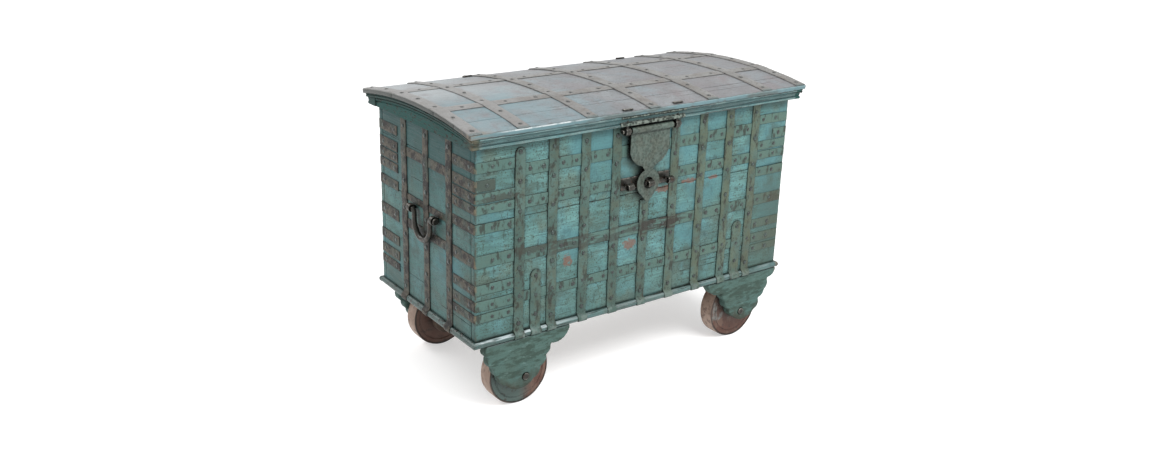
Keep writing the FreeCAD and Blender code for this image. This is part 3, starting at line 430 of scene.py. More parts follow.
def painted_wood(name, deep, light, fresh, dull, dirt_and_shade, grain=LEVEL_GRAIN, dirt_share=0.55, rubbed=0.6,
                 bare=BARE):
    """Old oil paint on wood: uneven tone, brush and grain streaks, stains, dirt and painted shade in
    corners, rubbed edges.
    """
    paint = Paint(name, deep)
    paint.coat(light, paint.patches(5, 0.40, 0.60))
    paint.coat(fresh, paint.patches(11, 0.46, 0.68, 0.7, detail=5, shift=7))
    paint.coat(dull, paint.patches(9, 0.48, 0.64, 0.8, detail=6, rough=0.6, shift=3))
    streaks = paint.cloud(260, grain, detail=5, rough=0.65)
    shade = paint.ramp(streaks, 0.30, 0.70, 0.74, 1.20)
    grey = paint.add("CombineColor", {0: shade, 1: shade, 2: shade}).outputs[0]
    paint.colour = paint.mix(1.0, paint.colour, grey, "MULTIPLY")
    long_grain = [0.5 * one if one < 1 else 1 for one in grain]
    scratches = paint.patches(400, 0.60, 0.69, stretch=long_grain, shift=2)
    paint.coat(dirt_and_shade, scratches, 0.6)
    paint.coat(dirt_and_shade, paint.patches(19, 0.50, 0.72, dirt_share, stretch=(0.5, 0.5, 1), detail=7, rough=0.7))
    paint.coat(dirt_and_shade, paint.patches(210, 0.55, 0.65, 0.9, detail=5, shift=5))
    smudge = {"stretch": (1, 1, 0.6), "detail": 7.0, "rough": 0.7, "shift": 15.0}
    paint.coat(paint.mix(0.5, dirt_and_shade, SHADE_AND_GRIME), paint.patches(48, 0.54, 0.66, dirt_share, **smudge))
    paint.coat(bare, paint.edges(), paint.patches(30, 0.40, 0.62, rubbed, shift=9))
    # Painted shade: darker near raised pieces and in corners, softly over a wide reach and strongly close
    # in.
    paint.coat(dirt_and_shade, paint.shaded_crevices(0.035, 0.60, 0.97), 0.45)
    paint.coat(SHADE_AND_GRIME, paint.shaded_crevices(), 0.92)
    paint.relief = paint.maths("ADD", streaks, paint.all_of(scratches, -0.6))
    return paint


def old_wood(paint, grain=LEVEL_GRAIN):
    """The colour of unpainted old wood."""
    tone = paint.mix(paint.cloud(5), tint(112, 88, 66), tint(140, 112, 86))
    streaks = paint.patches(200, 0.42, 0.66, 0.65, stretch=grain, detail=5, shift=1)
    return paint.mix(streaks, tone, tint(72, 54, 40))


def body_paint():
    paint = painted_wood(
        "body_paint", deep=tint(94, 138, 134), light=tint(112, 160, 156), fresh=tint(112, 168, 172),
        dull=tint(108, 130, 118), dirt_and_shade=tint(64, 72, 60), dirt_share=0.6)
    paint.coat(tint(92, 147, 154), paint.patches(4.5, 0.46, 0.64, 0.7, detail=4, shift=51))
    paint.coat(tint(84, 104, 96), paint.patches(7, 0.54, 0.66, 0.65, detail=5, shift=61))
    chips = paint.patches(45, 0.42, 0.60, 0.85, detail=5, shift=6)
    paint.coat(tint(88, 76, 62), paint.corners(0.007), chips)
    for middle, half_size in RED_PATCHES:
        paint.coat(tint(140, 86, 66), paint.front_spot(middle, half_size, 0.6), 0.65)
    on_end = paint.beyond(paint.x, HALF_LENGTH - 0.0003, 0.002)
    # The end walls darker towards the top: dirt and painted shade under the overhang of the lid.
    paint.coat(tint(40, 82, 82), on_end, paint.ramp(paint.z, 0.50, 0.76, 0.25, 0.85))
    paint.coat(tint(76, 90, 76), paint.low_right(), 0.65)
    # Painted shade: darker towards the bottom of the walls.
    paint.coat(tint(80, 104, 98), paint.ramp(paint.z, 0.42, 0.28, 0, 0.25))
    # Painted shadow round and behind the hasp.
    paint.coat(SHADE_AND_GRIME, paint.hasp_shadow())
    paint.coat(old_wood(paint), paint.inside())
    roughness = paint.ramp(paint.relief, 0.3, 0.7, 0.42, 0.64)
    return paint.finish(roughness, paint.relief, 0.0008, gloss=0.25)


def worn_bracket(paint, bracket):
    """Streaked paint on the wheel brackets, scuffed away at the foot."""
    streaky = {"stretch": (0.35, 1, 1), "rough": 0.7}
    blotches = paint.patches(44, 0.47, 0.60, 0.7, detail=7, shift=44, **streaky)
    scars = paint.patches(80, 0.58, 0.66, 0.6, detail=6, shift=48, **streaky)
    paint.coat(tint(100, 126, 116), bracket, 0.6)
    paint.coat(tint(62, 78, 68), bracket, blotches)
    paint.coat(tint(120, 150, 144), bracket, scars)
    ragged_height = paint.maths("ADD", paint.z, paint.all_of(paint.cloud(24, detail=6, shift=5), 0.16))
    paint.coat(tint(72, 66, 54), bracket, paint.ramp(ragged_height, 0.200, 0.150, 0, 0.75))


def worn_base(paint, base):
    """The base rails: a painted highlight along the nose at the front left, and a bare tip at the front
    right.
    """
    # Painted highlight along the top of the nose at the front left.
    paint.coat(
        tint(206, 222, 224), base, paint.ramp(paint.x, -0.22, -0.40, 0.2, 1.0),
        paint.ramp(paint.z, RAIL_HIGH.z - 0.0080, RAIL_HIGH.z - 0.0045),
        paint.patches(60, 0.36, 0.50, stretch=(0.2, 1, 1), detail=5, shift=31),
        paint.ramp(paint.y, -HALF_DEPTH - 0.002, -HALF_DEPTH - 0.004))
    paint.coat(
        tint(160, 132, 104), paint.ramp(paint.x, HALF_LENGTH - 0.004, HALF_LENGTH + 0.006),
        paint.ramp(paint.y, -0.24, -0.27), paint.ramp(paint.z, 0.30, 0.28), 0.75)


def moulding_paint():
    """The base rails, the wheel brackets below them, and the rails and ends of the lid."""
    paint = painted_wood(
        "moulding_paint", deep=tint(84, 120, 118), light=tint(108, 152, 150), fresh=tint(104, 162, 168),
        dull=tint(98, 114, 104), dirt_and_shade=tint(60, 58, 48), rubbed=0.9, bare=tint(170, 184, 178))
    base = paint.ramp(paint.z, RAIL_HIGH.z + 0.02, RAIL_HIGH.z)
    bracket = paint.ramp(paint.z, RAIL_LOW.z, RAIL_LOW.z - 0.006)
    lid = paint.ramp(paint.z, LID_FOOT - 0.02, LID_FOOT - 0.01)
    on_end = paint.beyond(paint.x, HALF_LENGTH + 0.004, 0.003)
    lid_end = paint.all_of(on_end, lid)
    paint.coat(tint(66, 96, 92), base, 0.55)
    worn_bracket(paint, bracket)
    worn_base(paint, base)
    paint.coat(tint(104, 158, 162), lid, 0.3)
    # Darker teal on the end faces, most on the lid ends: partly painted shade below the overhanging
    # mouldings.
    paint.coat(tint(62, 80, 75), on_end, paint.ramp(lid, 0, 1, 0.5, 0.8))
    arch = paint.all_of(lid_end, paint.beyond(paint.x, HALF_LENGTH + 0.0194, 0.0003))
    paint.coat(tint(58, 98, 94), lid_end, paint.ramp(arch, 0, 1, 0.85, 0))
    flakes = paint.patches(70, 0.38, 0.56, 0.8, stretch=(0.4, 0.4, 1), detail=5, shift=19)
    left_corner = paint.all_of(paint.ramp(paint.x, -0.56, -0.595), paint.ramp(paint.y, -0.27, -0.30))
    paint.coat(tint(124, 116, 98), left_corner, lid, flakes)
    cracks = paint.patches(210, 0.55, 0.65, 0.85, stretch=(0.03, 0.3, 1), detail=4, shift=12)
    cracks = paint.all_of(cracks, paint.ramp(bracket, 0, 1, 1, 0.15))
    paint.coat(tint(50, 44, 36), cracks)
    paint.coat(old_wood(paint), paint.inside(), lid)
    relief = paint.maths("SUBTRACT", paint.relief, paint.all_of(cracks, 1.5))
    flat = paint.maths("MAXIMUM", lid_end, paint.all_of(bracket, 0.8))
    roughness = paint.maths("ADD", paint.ramp(relief, 0.0, 0.7, 0.26, 0.50), paint.all_of(flat, 0.28))
    return paint.finish(roughness, relief, 0.0010, gloss=paint.ramp(flat, 0, 1, 0.5, 0.12))


def lid_front_wear_and_highlight(paint):
    """The front edge of the lid: a wandering streaky band, a dark line, an uneven paler rim, and a painted
    highlight along the top of the rim at the left.
    """
    wander = paint.all_of(paint.cloud(30, (1, 0, 0), detail=7, rough=0.75), 0.036)
    band = paint.ramp(paint.maths("ADD", paint.y, wander), LID_LOW.y + 0.026, LID_LOW.y + 0.020)
    streaks = paint.patches(60, 0.40, 0.58, stretch=(0.12, 1, 1), detail=6, rough=0.65, shift=8)
    paint.coat(paint.mix(streaks, tint(78, 90, 90), tint(116, 136, 138)), band, 0.85)
    from_line = paint.maths("ABSOLUTE", paint.maths("SUBTRACT", band, 0.3))
    paint.coat(tint(66, 60, 54), paint.ramp(from_line, 0.28, 0.10, 0, 0.7))
    rim = paint.ramp(paint.y, LID_LOW.y + 0.0045, LID_LOW.y + 0.0025)
    uneven = paint.patches(30, 0.38, 0.56, stretch=(0.3, 1, 1), detail=5)
    paint.coat(paint.mix(uneven, tint(84, 104, 102), tint(108, 150, 158)), rim, 0.8)
    # Painted highlight along the top of the rim at the left.
    broken = paint.ramp(paint.cloud(40, (1, 0, 0), detail=6, shift=41), 0.36, 0.54, 0.15, 1.0)
    at_left = paint.all_of(paint.ramp(paint.x, -0.20, -0.32, 0.15, 1.0), paint.ramp(paint.x, -0.54, -0.48))
    on_top = paint.ramp(paint.z, LID_EDGE - 0.0030, LID_EDGE - 0.0018)
    paint.coat(tint(226, 236, 238), rim, on_top, at_left, broken)


def lid_paint():
    paint = painted_wood(
        "lid_paint", deep=tint(134, 140, 144), light=tint(156, 162, 165), fresh=tint(144, 162, 170),
        dull=tint(142, 137, 140), dirt_and_shade=tint(98, 94, 90), grain=LONG_GRAIN, dirt_share=0.45,
        bare=tint(150, 134, 116))
    x, y, z = paint.x, paint.y, paint.z
    blue = paint.patches(7, 0.34, 0.60, 0.75, detail=6, rough=0.65, shift=4)
    paint.coat(tint(130, 160, 168), paint.ramp(x, -0.02, -0.35), paint.ramp(y, 0.12, -0.10), blue)
    # Painted sheen: lighter towards the left and the back.
    paint.coat(tint(184, 192, 195), paint.ramp(x, -0.15, -0.50), paint.ramp(y, -0.12, 0.06, 0, 0.75))
    # Painted shade: darker towards the right.
    paint.coat(tint(132, 130, 133), paint.ramp(x, -0.30, 0.50, 0, 0.5))
    paint.coat(tint(134, 120, 122), paint.patches(15, 0.50, 0.66, 0.4, detail=6, rough=0.65, shift=17))
    lid_front_wear_and_highlight(paint)
    paint.coat(tint(56, 60, 52), paint.beyond(x, -LID_LOW.x - 0.001, 0.003), 0.9)
    flakes = paint.patches(60, 0.35, 0.60, 0.85, stretch=(0.2, 1, 1), detail=5)
    paint.coat(tint(146, 132, 116), paint.ramp(x, -0.52, -0.59), paint.ramp(y, -0.25, -0.30), flakes)
    up = paint.maths("SUBTRACT", z, LID_CROWN - DOME_RADIUS)
    from_axis = paint.maths("SQRT", paint.maths("ADD", paint.all_of(y, y), paint.all_of(up, up)))
    mid_board = DOME_RADIUS - LID_THICK / 2
    underside = paint.ramp(from_axis, mid_board + 0.001, mid_board - 0.001)
    paint.coat(old_wood(paint, LONG_GRAIN), paint.inside(), underside)
    return paint.finish(paint.ramp(paint.relief, 0.3, 0.7, 0.36, 0.56), paint.relief, 0.0008)


def bare_wood():
    paint = Paint("bare_wood")
    paint.colour = old_wood(paint)
    # Painted shade: darker below the base rail, under the chest, and in corners.
    paint.coat(tint(66, 52, 42), paint.ramp(paint.z, RAIL_HIGH.z, RAIL_LOW.z, 0, 0.7))
    paint.coat(SHADE_AND_GRIME, paint.shaded_crevices(), 0.8)
    return paint.finish(0.75, paint.cloud(200, LEVEL_GRAIN, detail=5, shift=1), 0.0008)


def wheel_wood():
    """Bare and rusty behind; faded paint on the front faces, most of it left on the left one."""
    paint = Paint("wheel_wood", tint(132, 100, 84))
    paint.coat(tint(104, 76, 62), paint.cloud(9))
    in_front = paint.ramp(paint.y, WHEEL_FACE + 0.011, WHEEL_FACE + 0.003)
    paint.coat(tint(150, 158, 154), in_front, paint.patches(16, 0.52, 0.62, 0.75, detail=6, shift=3))
    rust = paint.patches(24, 0.44, 0.56, 0.9, stretch=(1, 1, 0.5), detail=5, shift=11)
    paint.coat(tint(98, 58, 42), rust)
    left = paint.all_of(in_front, paint.ramp(paint.x, -0.36, -0.42))
    paint.coat(tint(88, 110, 104), left, paint.patches(20, 0.34, 0.46, detail=5, shift=13))
    paint.coat(tint(102, 70, 56), paint.ramp(paint.y, 0.0, 0.1, 0, 0.6))
    paint.coat(tint(58, 44, 36), paint.patches(60, 0.54, 0.68, 0.7, detail=6, shift=23))
    # Painted shade under the brackets and in corners.
    paint.coat(SHADE_AND_GRIME, paint.shaded_crevices(0.030, 0.35, 0.90), 0.8)
    return paint.finish(0.6, paint.cloud(160, (0.08, 1, 1), detail=5), 0.0014)


def tyre_iron():
    """Pale where it runs on the floor, dark on its flat sides."""
    paint = Paint("tyre_iron", tint(206, 178, 160))
    paint.coat(tint(164, 136, 118), paint.patches(14, 0.38, 0.62, detail=5))
    paint.coat(tint(112, 84, 70), paint.patches(70, 0.52, 0.66, 0.75, detail=6))
    facing = paint.add("SeparateXYZ", {0: paint.add("TexCoord").outputs["Normal"]}).outputs["Y"]
    paint.coat(tint(52, 42, 36), paint.ramp(paint.maths("ABSOLUTE", facing), 0.55, 0.80, 0, 0.9))
    # Painted shade in corners.
    paint.coat(SHADE_AND_GRIME, paint.shaded_crevices(), 0.85)
    return paint.finish(0.55, paint.cloud(180, detail=5), 0.0008, metallic=0.05)


def painted_iron(name, light, deep, brown, brown_share, pitted=0.6):
    """Thin paint on a hammered iron strap, worn to brown and pitted."""
    paint = Paint(name, deep)
    paint.coat(light, paint.patches(8, 0.40, 0.60))
    paint.coat(brown, paint.patches(24, 0.44, 0.62, brown_share, detail=7, rough=0.7))
    pits = paint.patches(160, 0.54, 0.64, pitted, detail=6, rough=0.65, shift=6)
    paint.coat(tint(44, 39, 33), pits)
    paint.coat(tint(132, 138, 126), paint.edges(0.53, 0.62), paint.patches(40, 0.42, 0.60, 0.5, shift=9))
    paint.relief = paint.maths("ADD", paint.cloud(90, detail=4, shift=2), paint.all_of(pits, -0.7))
    return paint


def shade_and_grime_at_foot(paint, reach=0.008):
    """Dirt and painted shade gathered at the foot of a raised piece."""
    paint.coat(SHADE_AND_GRIME, paint.shaded_crevices(reach, 0.62, 0.96), 0.92)


def worn_front_row(paint):
    """1 in the stretches of the middle cross strap on the front that have lost their paint."""
    middle = paint.all_of(paint.ramp(paint.x, -0.03, 0.01), paint.ramp(paint.x, 0.17, 0.14))
    beside = paint.all_of(paint.ramp(paint.x, -0.38, -0.32), paint.ramp(paint.x, 0.22, 0.18, 0, 0.6))
    low, high = 0.446, 0.500
    row = paint.all_of(paint.ramp(paint.z, low, low + 0.010), paint.ramp(paint.z, high, high - 0.010))
    ragged = paint.patches(26, 0.44, 0.54, 0.9, stretch=(0.5, 1, 3), detail=7, shift=21)
    return paint.all_of(paint.maths("MAXIMUM", middle, beside), row, ragged)


def painted_straps():
    paint = painted_iron(
        "painted_straps", light=tint(92, 121, 113), deep=tint(76, 103, 95), brown=tint(92, 98, 80),
        brown_share=0.55)
    on_front = paint.ramp(paint.y, -HALF_DEPTH - 0.0001, -HALF_DEPTH - 0.0004)
    lower_layer = paint.ramp(paint.y, -HALF_DEPTH - 0.0030, -HALF_DEPTH - 0.0024)
    olive = paint.patches(14, 0.38, 0.56, 0.5, detail=4)
    paint.coat(tint(108, 116, 90), on_front, paint.ramp(paint.x, 0.00, 0.25), olive)
    paint.coat(tint(94, 132, 124), on_front, lower_layer, 0.62)
    smear = {"stretch": (1, 1, 0.4), "detail": 7.0, "rough": 0.7, "shift": 27.0}
    paint.coat(tint(50, 50, 42), paint.patches(50, 0.52, 0.62, 0.8, **smear))
    paint.coat(tint(58, 52, 46), worn_front_row(paint))
    for middle, half_size in DARK_PATCHES:
        paint.coat(tint(66, 66, 57), paint.front_spot(middle, half_size, 0.5), 0.7)
    on_end = paint.beyond(paint.x, HALF_LENGTH + 0.0005, 0.002)
    scales = paint.patches(34, 0.45, 0.55, detail=7, rough=0.7, shift=4)
    share = paint.ramp(paint.cloud(12, detail=4, shift=14), 0.38, 0.52, 0.6, 1.0)
    paint.coat(paint.mix(scales, tint(88, 82, 70), tint(34, 29, 25)), on_end, share)
    rubbed = paint.patches(60, 0.42, 0.54, 0.9, detail=5, shift=6)
    paint.coat(tint(140, 130, 108), paint.corners(0.006), rubbed)
    paint.coat(tint(78, 78, 62), paint.low_right(), 0.6)
    # Painted highlight where the straps bend over the nose of the base rail.
    over_rail = paint.ramp(paint.z, RAIL_HIGH.z + 0.004, RAIL_HIGH.z - 0.004)
    paint.coat(tint(136, 152, 146), on_front, over_rail, paint.patches(60, 0.42, 0.60, 0.55, detail=5))
    # Painted shadow round and behind the hasp.
    paint.coat(SHADE_AND_GRIME, paint.hasp_shadow())
    shade_and_grime_at_foot(paint)
    roughness = paint.ramp(paint.relief, 0.0, 0.6, 0.34, 0.58)
    return paint.finish(roughness, paint.relief, 0.0008, gloss=0.3)


def lid_straps():
    paint = painted_iron(
        "lid_straps", light=tint(151, 151, 149), deep=tint(136, 135, 132), brown=tint(122, 113, 105),
        brown_share=0.6)
    # Painted sheen: lighter towards the left, as on the lid boards.
    paint.coat(tint(172, 172, 172), paint.ramp(paint.x, -0.20, -0.55, 0, 0.4))
    paint.coat(tint(96, 114, 114), paint.ramp(paint.y, LID_LOW.y + 0.016, LID_LOW.y + 0.006, 0, 0.7))
    shade_and_grime_at_foot(paint, 0.011)
    return paint.finish(0.44, paint.relief, 0.0007, metallic=0.1)


def hasp_iron():
    """Punched all over the strip above the pin and lightly on the leaf, with painted shade on the sides of
    the leaf.
    """
    paint = painted_iron(
        "hasp_iron", light=tint(92, 110, 101), deep=tint(76, 92, 84), brown=tint(88, 90, 76),
        brown_share=0.45, pitted=0.5)
    on_strip = paint.ramp(paint.z, LID_FOOT - 0.004, LID_FOOT, 0.25, 1.0)
    away = paint.add("TexVoronoi", {"Vector": paint.place, "Scale": 120.0}).outputs["Distance"]
    punched = paint.all_of(on_strip, paint.ramp(away, 0.50, 0.25))
    paint.coat(tint(36, 38, 32), punched, 0.85)
    paint.coat(tint(146, 156, 146), on_strip, paint.ramp(away, 0.50, 0.70, 0, 0.7))
    # Painted shade on the sides of the leaf, which stands off the wall.
    on_leaf = paint.ramp(paint.z, LID_FOOT, LID_FOOT - 0.004)
    behind = paint.ramp(paint.y, PIN_BACK - 0.0028, PIN_BACK - 0.0015)
    paint.coat(tint(34, 36, 32), on_leaf, behind, 0.85)
    shade_and_grime_at_foot(paint)
    relief = paint.maths("SUBTRACT", paint.relief, punched)
    return paint.finish(0.46, relief, 0.0012, metallic=0.1, gloss=0.35)


def dark_iron():
    paint = Paint("dark_iron", tint(44, 44, 40))
    paint.coat(tint(74, 74, 68), paint.cloud(50, detail=4))
    paint.coat(tint(84, 58, 44), paint.patches(80, 0.52, 0.66, 0.6, detail=5, shift=3))
    on_lid = paint.ramp(paint.z, LID_EDGE + 0.0002, LID_EDGE + 0.0012)
    paint.coat(tint(124, 122, 120), on_lid, paint.ramp(paint.y, 0.0, -0.1), 0.85)
    paint.coat(tint(176, 172, 162), paint.edges(0.50, 0.56), paint.patches(60, 0.4, 0.6, 0.7, shift=8))
    shade_and_grime_at_foot(paint)
    return paint.finish(0.34, paint.cloud(150, detail=4), 0.0008, metallic=0.55)


def nails():
    paint = Paint("nails", tint(30, 38, 36))
    paint.coat(tint(50, 62, 58), paint.cloud(120))
    paint.coat(tint(60, 86, 80), paint.patches(30, 0.45, 0.60, 0.6, shift=5))
    paint.coat(tint(92, 92, 90), paint.ramp(paint.z, LID_EDGE, LID_EDGE + 0.001, 0, 0.75))
    # Dirt and painted shade: near black where the head meets the surface below it.
    paint.coat(tint(16, 15, 13), paint.shaded_crevices(0.006, 0.55, 0.97), 0.95)
    return paint.finish(0.32, paint.cloud(400), 0.0003, metallic=0.1, gloss=0.6)


MATERIALS = {make.__name__: make() for make in (
    body_paint, moulding_paint, lid_paint, bare_wood, wheel_wood, tyre_iron, painted_straps, lid_straps,
    hasp_iron, dark_iron, nails)}


# ------------------------------------------------------------------ boards

CRACK_HALF_WIDTH = 0.0011
CRACK_KEEP_CLEAR = 0.004


class Crack:
    """An open crack along the grain of a board."""

    def __init__(self, chance, span, across):
        margin = 0.12 * (across[1] - across[0])
        self.line = chance.uniform(across[0] + margin, across[1] - margin)
        middle = chance.uniform(*span)
        length = chance.uniform(0.10, 0.45)
        self.start, self.stop = middle - length / 2, middle + length / 2
        self.depth = chance.uniform(0.0012, 0.0028)

    def at(self, s):
        """How deep the crack is, and how far it wanders, at a place along the grain."""
        fade = smooth(s, self.start, self.start + 0.03) * smooth(-s, -self.stop, -self.stop + 0.03)
        uneven = 0.7 + 0.5 * noise.noise(Vector((s * 30, self.line * 50, 0)))
        return self.depth * fade * uneven, 0.0018 * noise.noise(Vector((s * 9, self.line * 80, 3)))


def plank(shape, name, span, across, thickness, place, cracks=3, step=0.006, ease=0.0025):
    """A board from span[0] to span[1] along the grain. place(along, across, depth) gives its points."""
    chance = random.Random(name)
    lines = [Crack(chance, span, across) for _ in range(cracks)]
    low, high = across
    corner = ease * 0.3
    face = [(a, None) for a in spaced(low + ease, high - ease, step)
            if all(abs(a - crack.line) > CRACK_KEEP_CLEAR for crack in lines)]
    for crack in lines:
        face.append((crack.line - CRACK_HALF_WIDTH, None))
        face.append((crack.line, crack))
        face.append((crack.line + CRACK_HALF_WIDTH, None))
    face.sort(key=lambda pair: pair[0])
    back = [(a, -thickness) for a in reversed(spaced(low + ease, high - ease, 0.03))]

    def section_at(s):
        section = []
        for a, crack in face:
            section.append((a, -crack.at(s)[0] if crack else 0))
        section += [(high - corner, -corner), (high, -ease)]
        section += [(high, ease - thickness), (high - corner, corner - thickness)]
        section += back
        section += [(low + corner, corner - thickness), (low, ease - thickness)]
        section += [(low, -ease), (low + corner, -corner)]
        return section

    bar(shape, section_at, span[0], span[1], place, ease=ease)


def wall_board(node, wall):
    low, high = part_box(node)
    run = WALLS[wall][0]
    shape = bmesh.new()
    plank(shape, node, (low[run], high[run]), (low.z, high.z), BOARD,
          lambda s, a, b: wall_point(wall, s, b, a))
    add_piece(node, shape, wooden(node, "XY"))


def lid_board(node):
    low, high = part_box(node)
    shape = bmesh.new()
    gap = 0.0003
    across = (low.y + gap, high.y - gap)
    plank(shape, node, (low.x, high.x), across, LID_THICK, dome_point, cracks=2, ease=0.0016)
    add_piece(node, shape, chipped(wooden(node, "X", ridge=0.0003, warp=0.0008), LID_LOW.y))


def chipped(field, edge, depth=0.0030, reach=0.012):
    """A surface field with ragged bites out of the edge of the lid at one y."""
    def bitten(point):
        wide = noise.noise(Vector((point.x * 24, 0, point.z * 60)))
        narrow = noise.noise(Vector((point.x * 70, 5, 0)))
        bite = 0.5 * wide + narrow
        near = smooth(-abs(point.y - edge), -reach, 0)
        return field(point) - depth * near * max(0.0, bite)
    return bitten


def floor_boards():
    shape = bmesh.new()
    for index, (low, high) in enumerate(boxes_of("floor_boards")):
        plank(shape, f"floor{index}", (low.x, high.x), (low.y, high.y), high.z - low.z,
              lambda s, a, b: Vector((s, a, high.z + b)), cracks=1, step=0.012)
    add_piece("floor_boards", shape, wooden("floor", "X"))


# ------------------------------------------------------------------ mouldings

def half_round(centre, radius, start, stop, parts=7):
    """Points of an arc, from one angle in degrees to another."""
    points = []
    for part in range(parts + 1):
        angle = math.radians(start + (stop - start) * part / parts)
        points.append((centre[0] + radius * math.cos(angle), centre[1] + radius * math.sin(angle)))
    return points


def thicken(section, step, closed=True):
    """Adds points to the long stretches of an outline."""
    result = []
    following = section[1:] + section[:1] if closed else section[1:]
    for start, stop in zip(section, following):
        count = max(1, round((Vector(stop) - Vector(start)).length / step))
        result += [tuple(Vector(start).lerp(Vector(stop), part / count)) for part in range(count)]
    return result if closed else result + [section[-1]]


def base_rail(wall):
    """A mitred rail of the base frame: a flat board with a bead along its outer edge."""
    node = f"base_rail_{wall}"
    run = WALLS[wall][0]
    bead = (RAIL_HIGH.z - RAIL_LOW.z) / 2
    middle = (RAIL_LOW.z + RAIL_HIGH.z) / 2
    tip = -RAIL_LOW.y - HALF_DEPTH
    back = tip - (RAIL_HIGH.y - RAIL_LOW.y)
    nose = half_round((tip - bead, middle), bead, -90, 90, 12)
    section = thicken(nose + [(back, RAIL_HIGH.z), (back, RAIL_LOW.z)], 0.008)
    half = HALF_SIZE[run]
    shape = bmesh.new()
    bar(shape, lambda s: section, -half, half,
        lambda s, a, b: wall_point(wall, s * (half + a) / half, a, b), ease=0.0003)
    add_piece(node, shape, wooden(node, "XY", ridge=0.0003, warp=0.0012))


# Section of a long lid rail from its foot up: distance out from the carcass, and height above the foot.
RAIL_PROFILE = (
    (0.0230, 0.0), (0.0250, 0.0012), (0.0258, 0.0040), (0.0250, 0.0068), (0.0232, 0.0080),
    (0.0208, 0.0086), (0.0208, 0.0102), (0.0222, 0.0108), (0.0228, 0.0140), (0.0248, 0.0180),
    (0.0280, 0.0212), (0.0300, 0.0222), (0.0284, 0.0232), (0.0284, 0.0243), (0.0300, 0.0252),
    (0.0300, 0.0300),
)


def lid_rail(wall):
    """A moulded rail under the front or back edge of the lid."""
    node = f"lid_rail_{wall}"
    low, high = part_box(node)
    inner, gap = -BOARD, 0.0006
    outline = [(out, LID_FOOT + up) for out, up in RAIL_PROFILE]
    outer_top = dome_point(0, HALF_DEPTH + outline[-1][0], -LID_THICK).z - gap
    outline[-1] = (outline[-1][0], outer_top)
    inner_top = dome_point(0, HALF_DEPTH + inner, -LID_THICK).z - gap
    section = thicken(outline + [(inner, inner_top), (inner, LID_FOOT)], 0.006)
    shape = bmesh.new()
    bar(shape, lambda s: section, low.x, high.x, lambda s, a, b: wall_point(wall, s, a, b), ease=0.0012)
    add_piece(node, shape, wooden(node, "X", ridge=0.0005, warp=0.0009, fine=150))


# Section of a lid end from the top down: distance out from the carcass, and depth below the lid boards.
END_PROFILE = (
    (0.0230, 0.0), (0.0230, 0.0130), (0.0215, 0.0150), (0.0196, 0.0156), (0.0196, 0.0174),
    (0.0212, 0.0180), (0.0208, 0.0206), (0.0190, 0.0216), (0.0190, 0.0248), (0.0172, 0.0252),
    (0.0172, 0.0268), (0.0190, 0.0274),
)
# The thin moulding over it, which runs on across the ends of the rails.
EDGE_PROFILE = (
    (0.0232, 0.0006), (0.0275, 0.0006), (0.0280, 0.0014), (0.0280, 0.0042), (0.0262, 0.0052),
    (0.0262, 0.0062), (0.0278, 0.0072), (0.0274, 0.0104), (0.0256, 0.0124), (0.0232, 0.0130),
)


def under_lid(y, depth):
    """Height of a line that follows the underside of the lid boards."""
    return dome_point(0, y, -LID_THICK - depth).z


def lid_end(wall):
    """The arched end of the lid, with its mouldings along the arch."""
    node = f"lid_end_{wall}"
    low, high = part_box(node)
    mouldings = thicken(list(END_PROFILE), 0.004, closed=False)[:-1]
    face = END_PROFILE[-1]
    levels = spaced(0, 1, 0.1)

    def section_at(y):
        section = [(out, under_lid(y, depth)) for out, depth in mouldings]
        top, inner_top = under_lid(y, face[1]), under_lid(y, 0)
        section += [(face[0], top + (LID_FOOT - top) * level) for level in levels]
        section += [(-BOARD, LID_FOOT + (inner_top - LID_FOOT) * level) for level in levels]
        return section

    shape = bmesh.new()
    bar(shape, section_at, low.y, high.y, lambda s, a, b: wall_point(wall, s, a, b), ease=0.0004)
    tip = -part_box("lid_rail_front")[0].y
    edge = [(out, depth + 0.0003) for out, depth in EDGE_PROFILE]
    bar(shape, lambda y: [(out, under_lid(y, depth)) for out, depth in edge], -tip, tip,
        lambda s, a, b: wall_point(wall, s, a, b), ease=0.0012)
    add_piece(node, shape, wooden(node, "Y", ridge=0.0003, warp=0.0008))


# ------------------------------------------------------------------ straps

# Section of a strap: place across as a share of half the width, height as a share of the rise.
STRAP_SECTION = (
    (-1, -0.25), (-1, 0.5), (-0.96, 0.84), (-0.87, 1), (-0.45, 1.03), (0, 1.05),
    (0.45, 1.03), (0.87, 1), (0.96, 0.84), (1, 0.5), (1, -0.25),
)


def walk(path, step=0.006, fine=(0.0007, 0.002, 0.004, 0.007, 0.011)):
    """Points along a path of (point, normal) pairs, close together near both ends.
    Returns (distance, point, normal) for each, and the length of the path."""
    lengths = [0.0]
    for (one, _), (two, _) in zip(path, path[1:]):
        lengths.append(lengths[-1] + (two - one).length)
    total = lengths[-1]
    distances = [0.0, *fine] + spaced(fine[-1], total - fine[-1], step)[1:]
    distances += [total - near for near in reversed(fine[:-1])] + [total]
    found = []
    leg = 0
    for distance in distances:
        while leg < len(path) - 2 and lengths[leg + 1] < distance:
            leg += 1
        share = (distance - lengths[leg]) / (lengths[leg + 1] - lengths[leg])
        point = path[leg][0].lerp(path[leg + 1][0], share)
        found.append((distance, point, path[leg][1].lerp(path[leg + 1][1], share).normalized()))
    return found, total


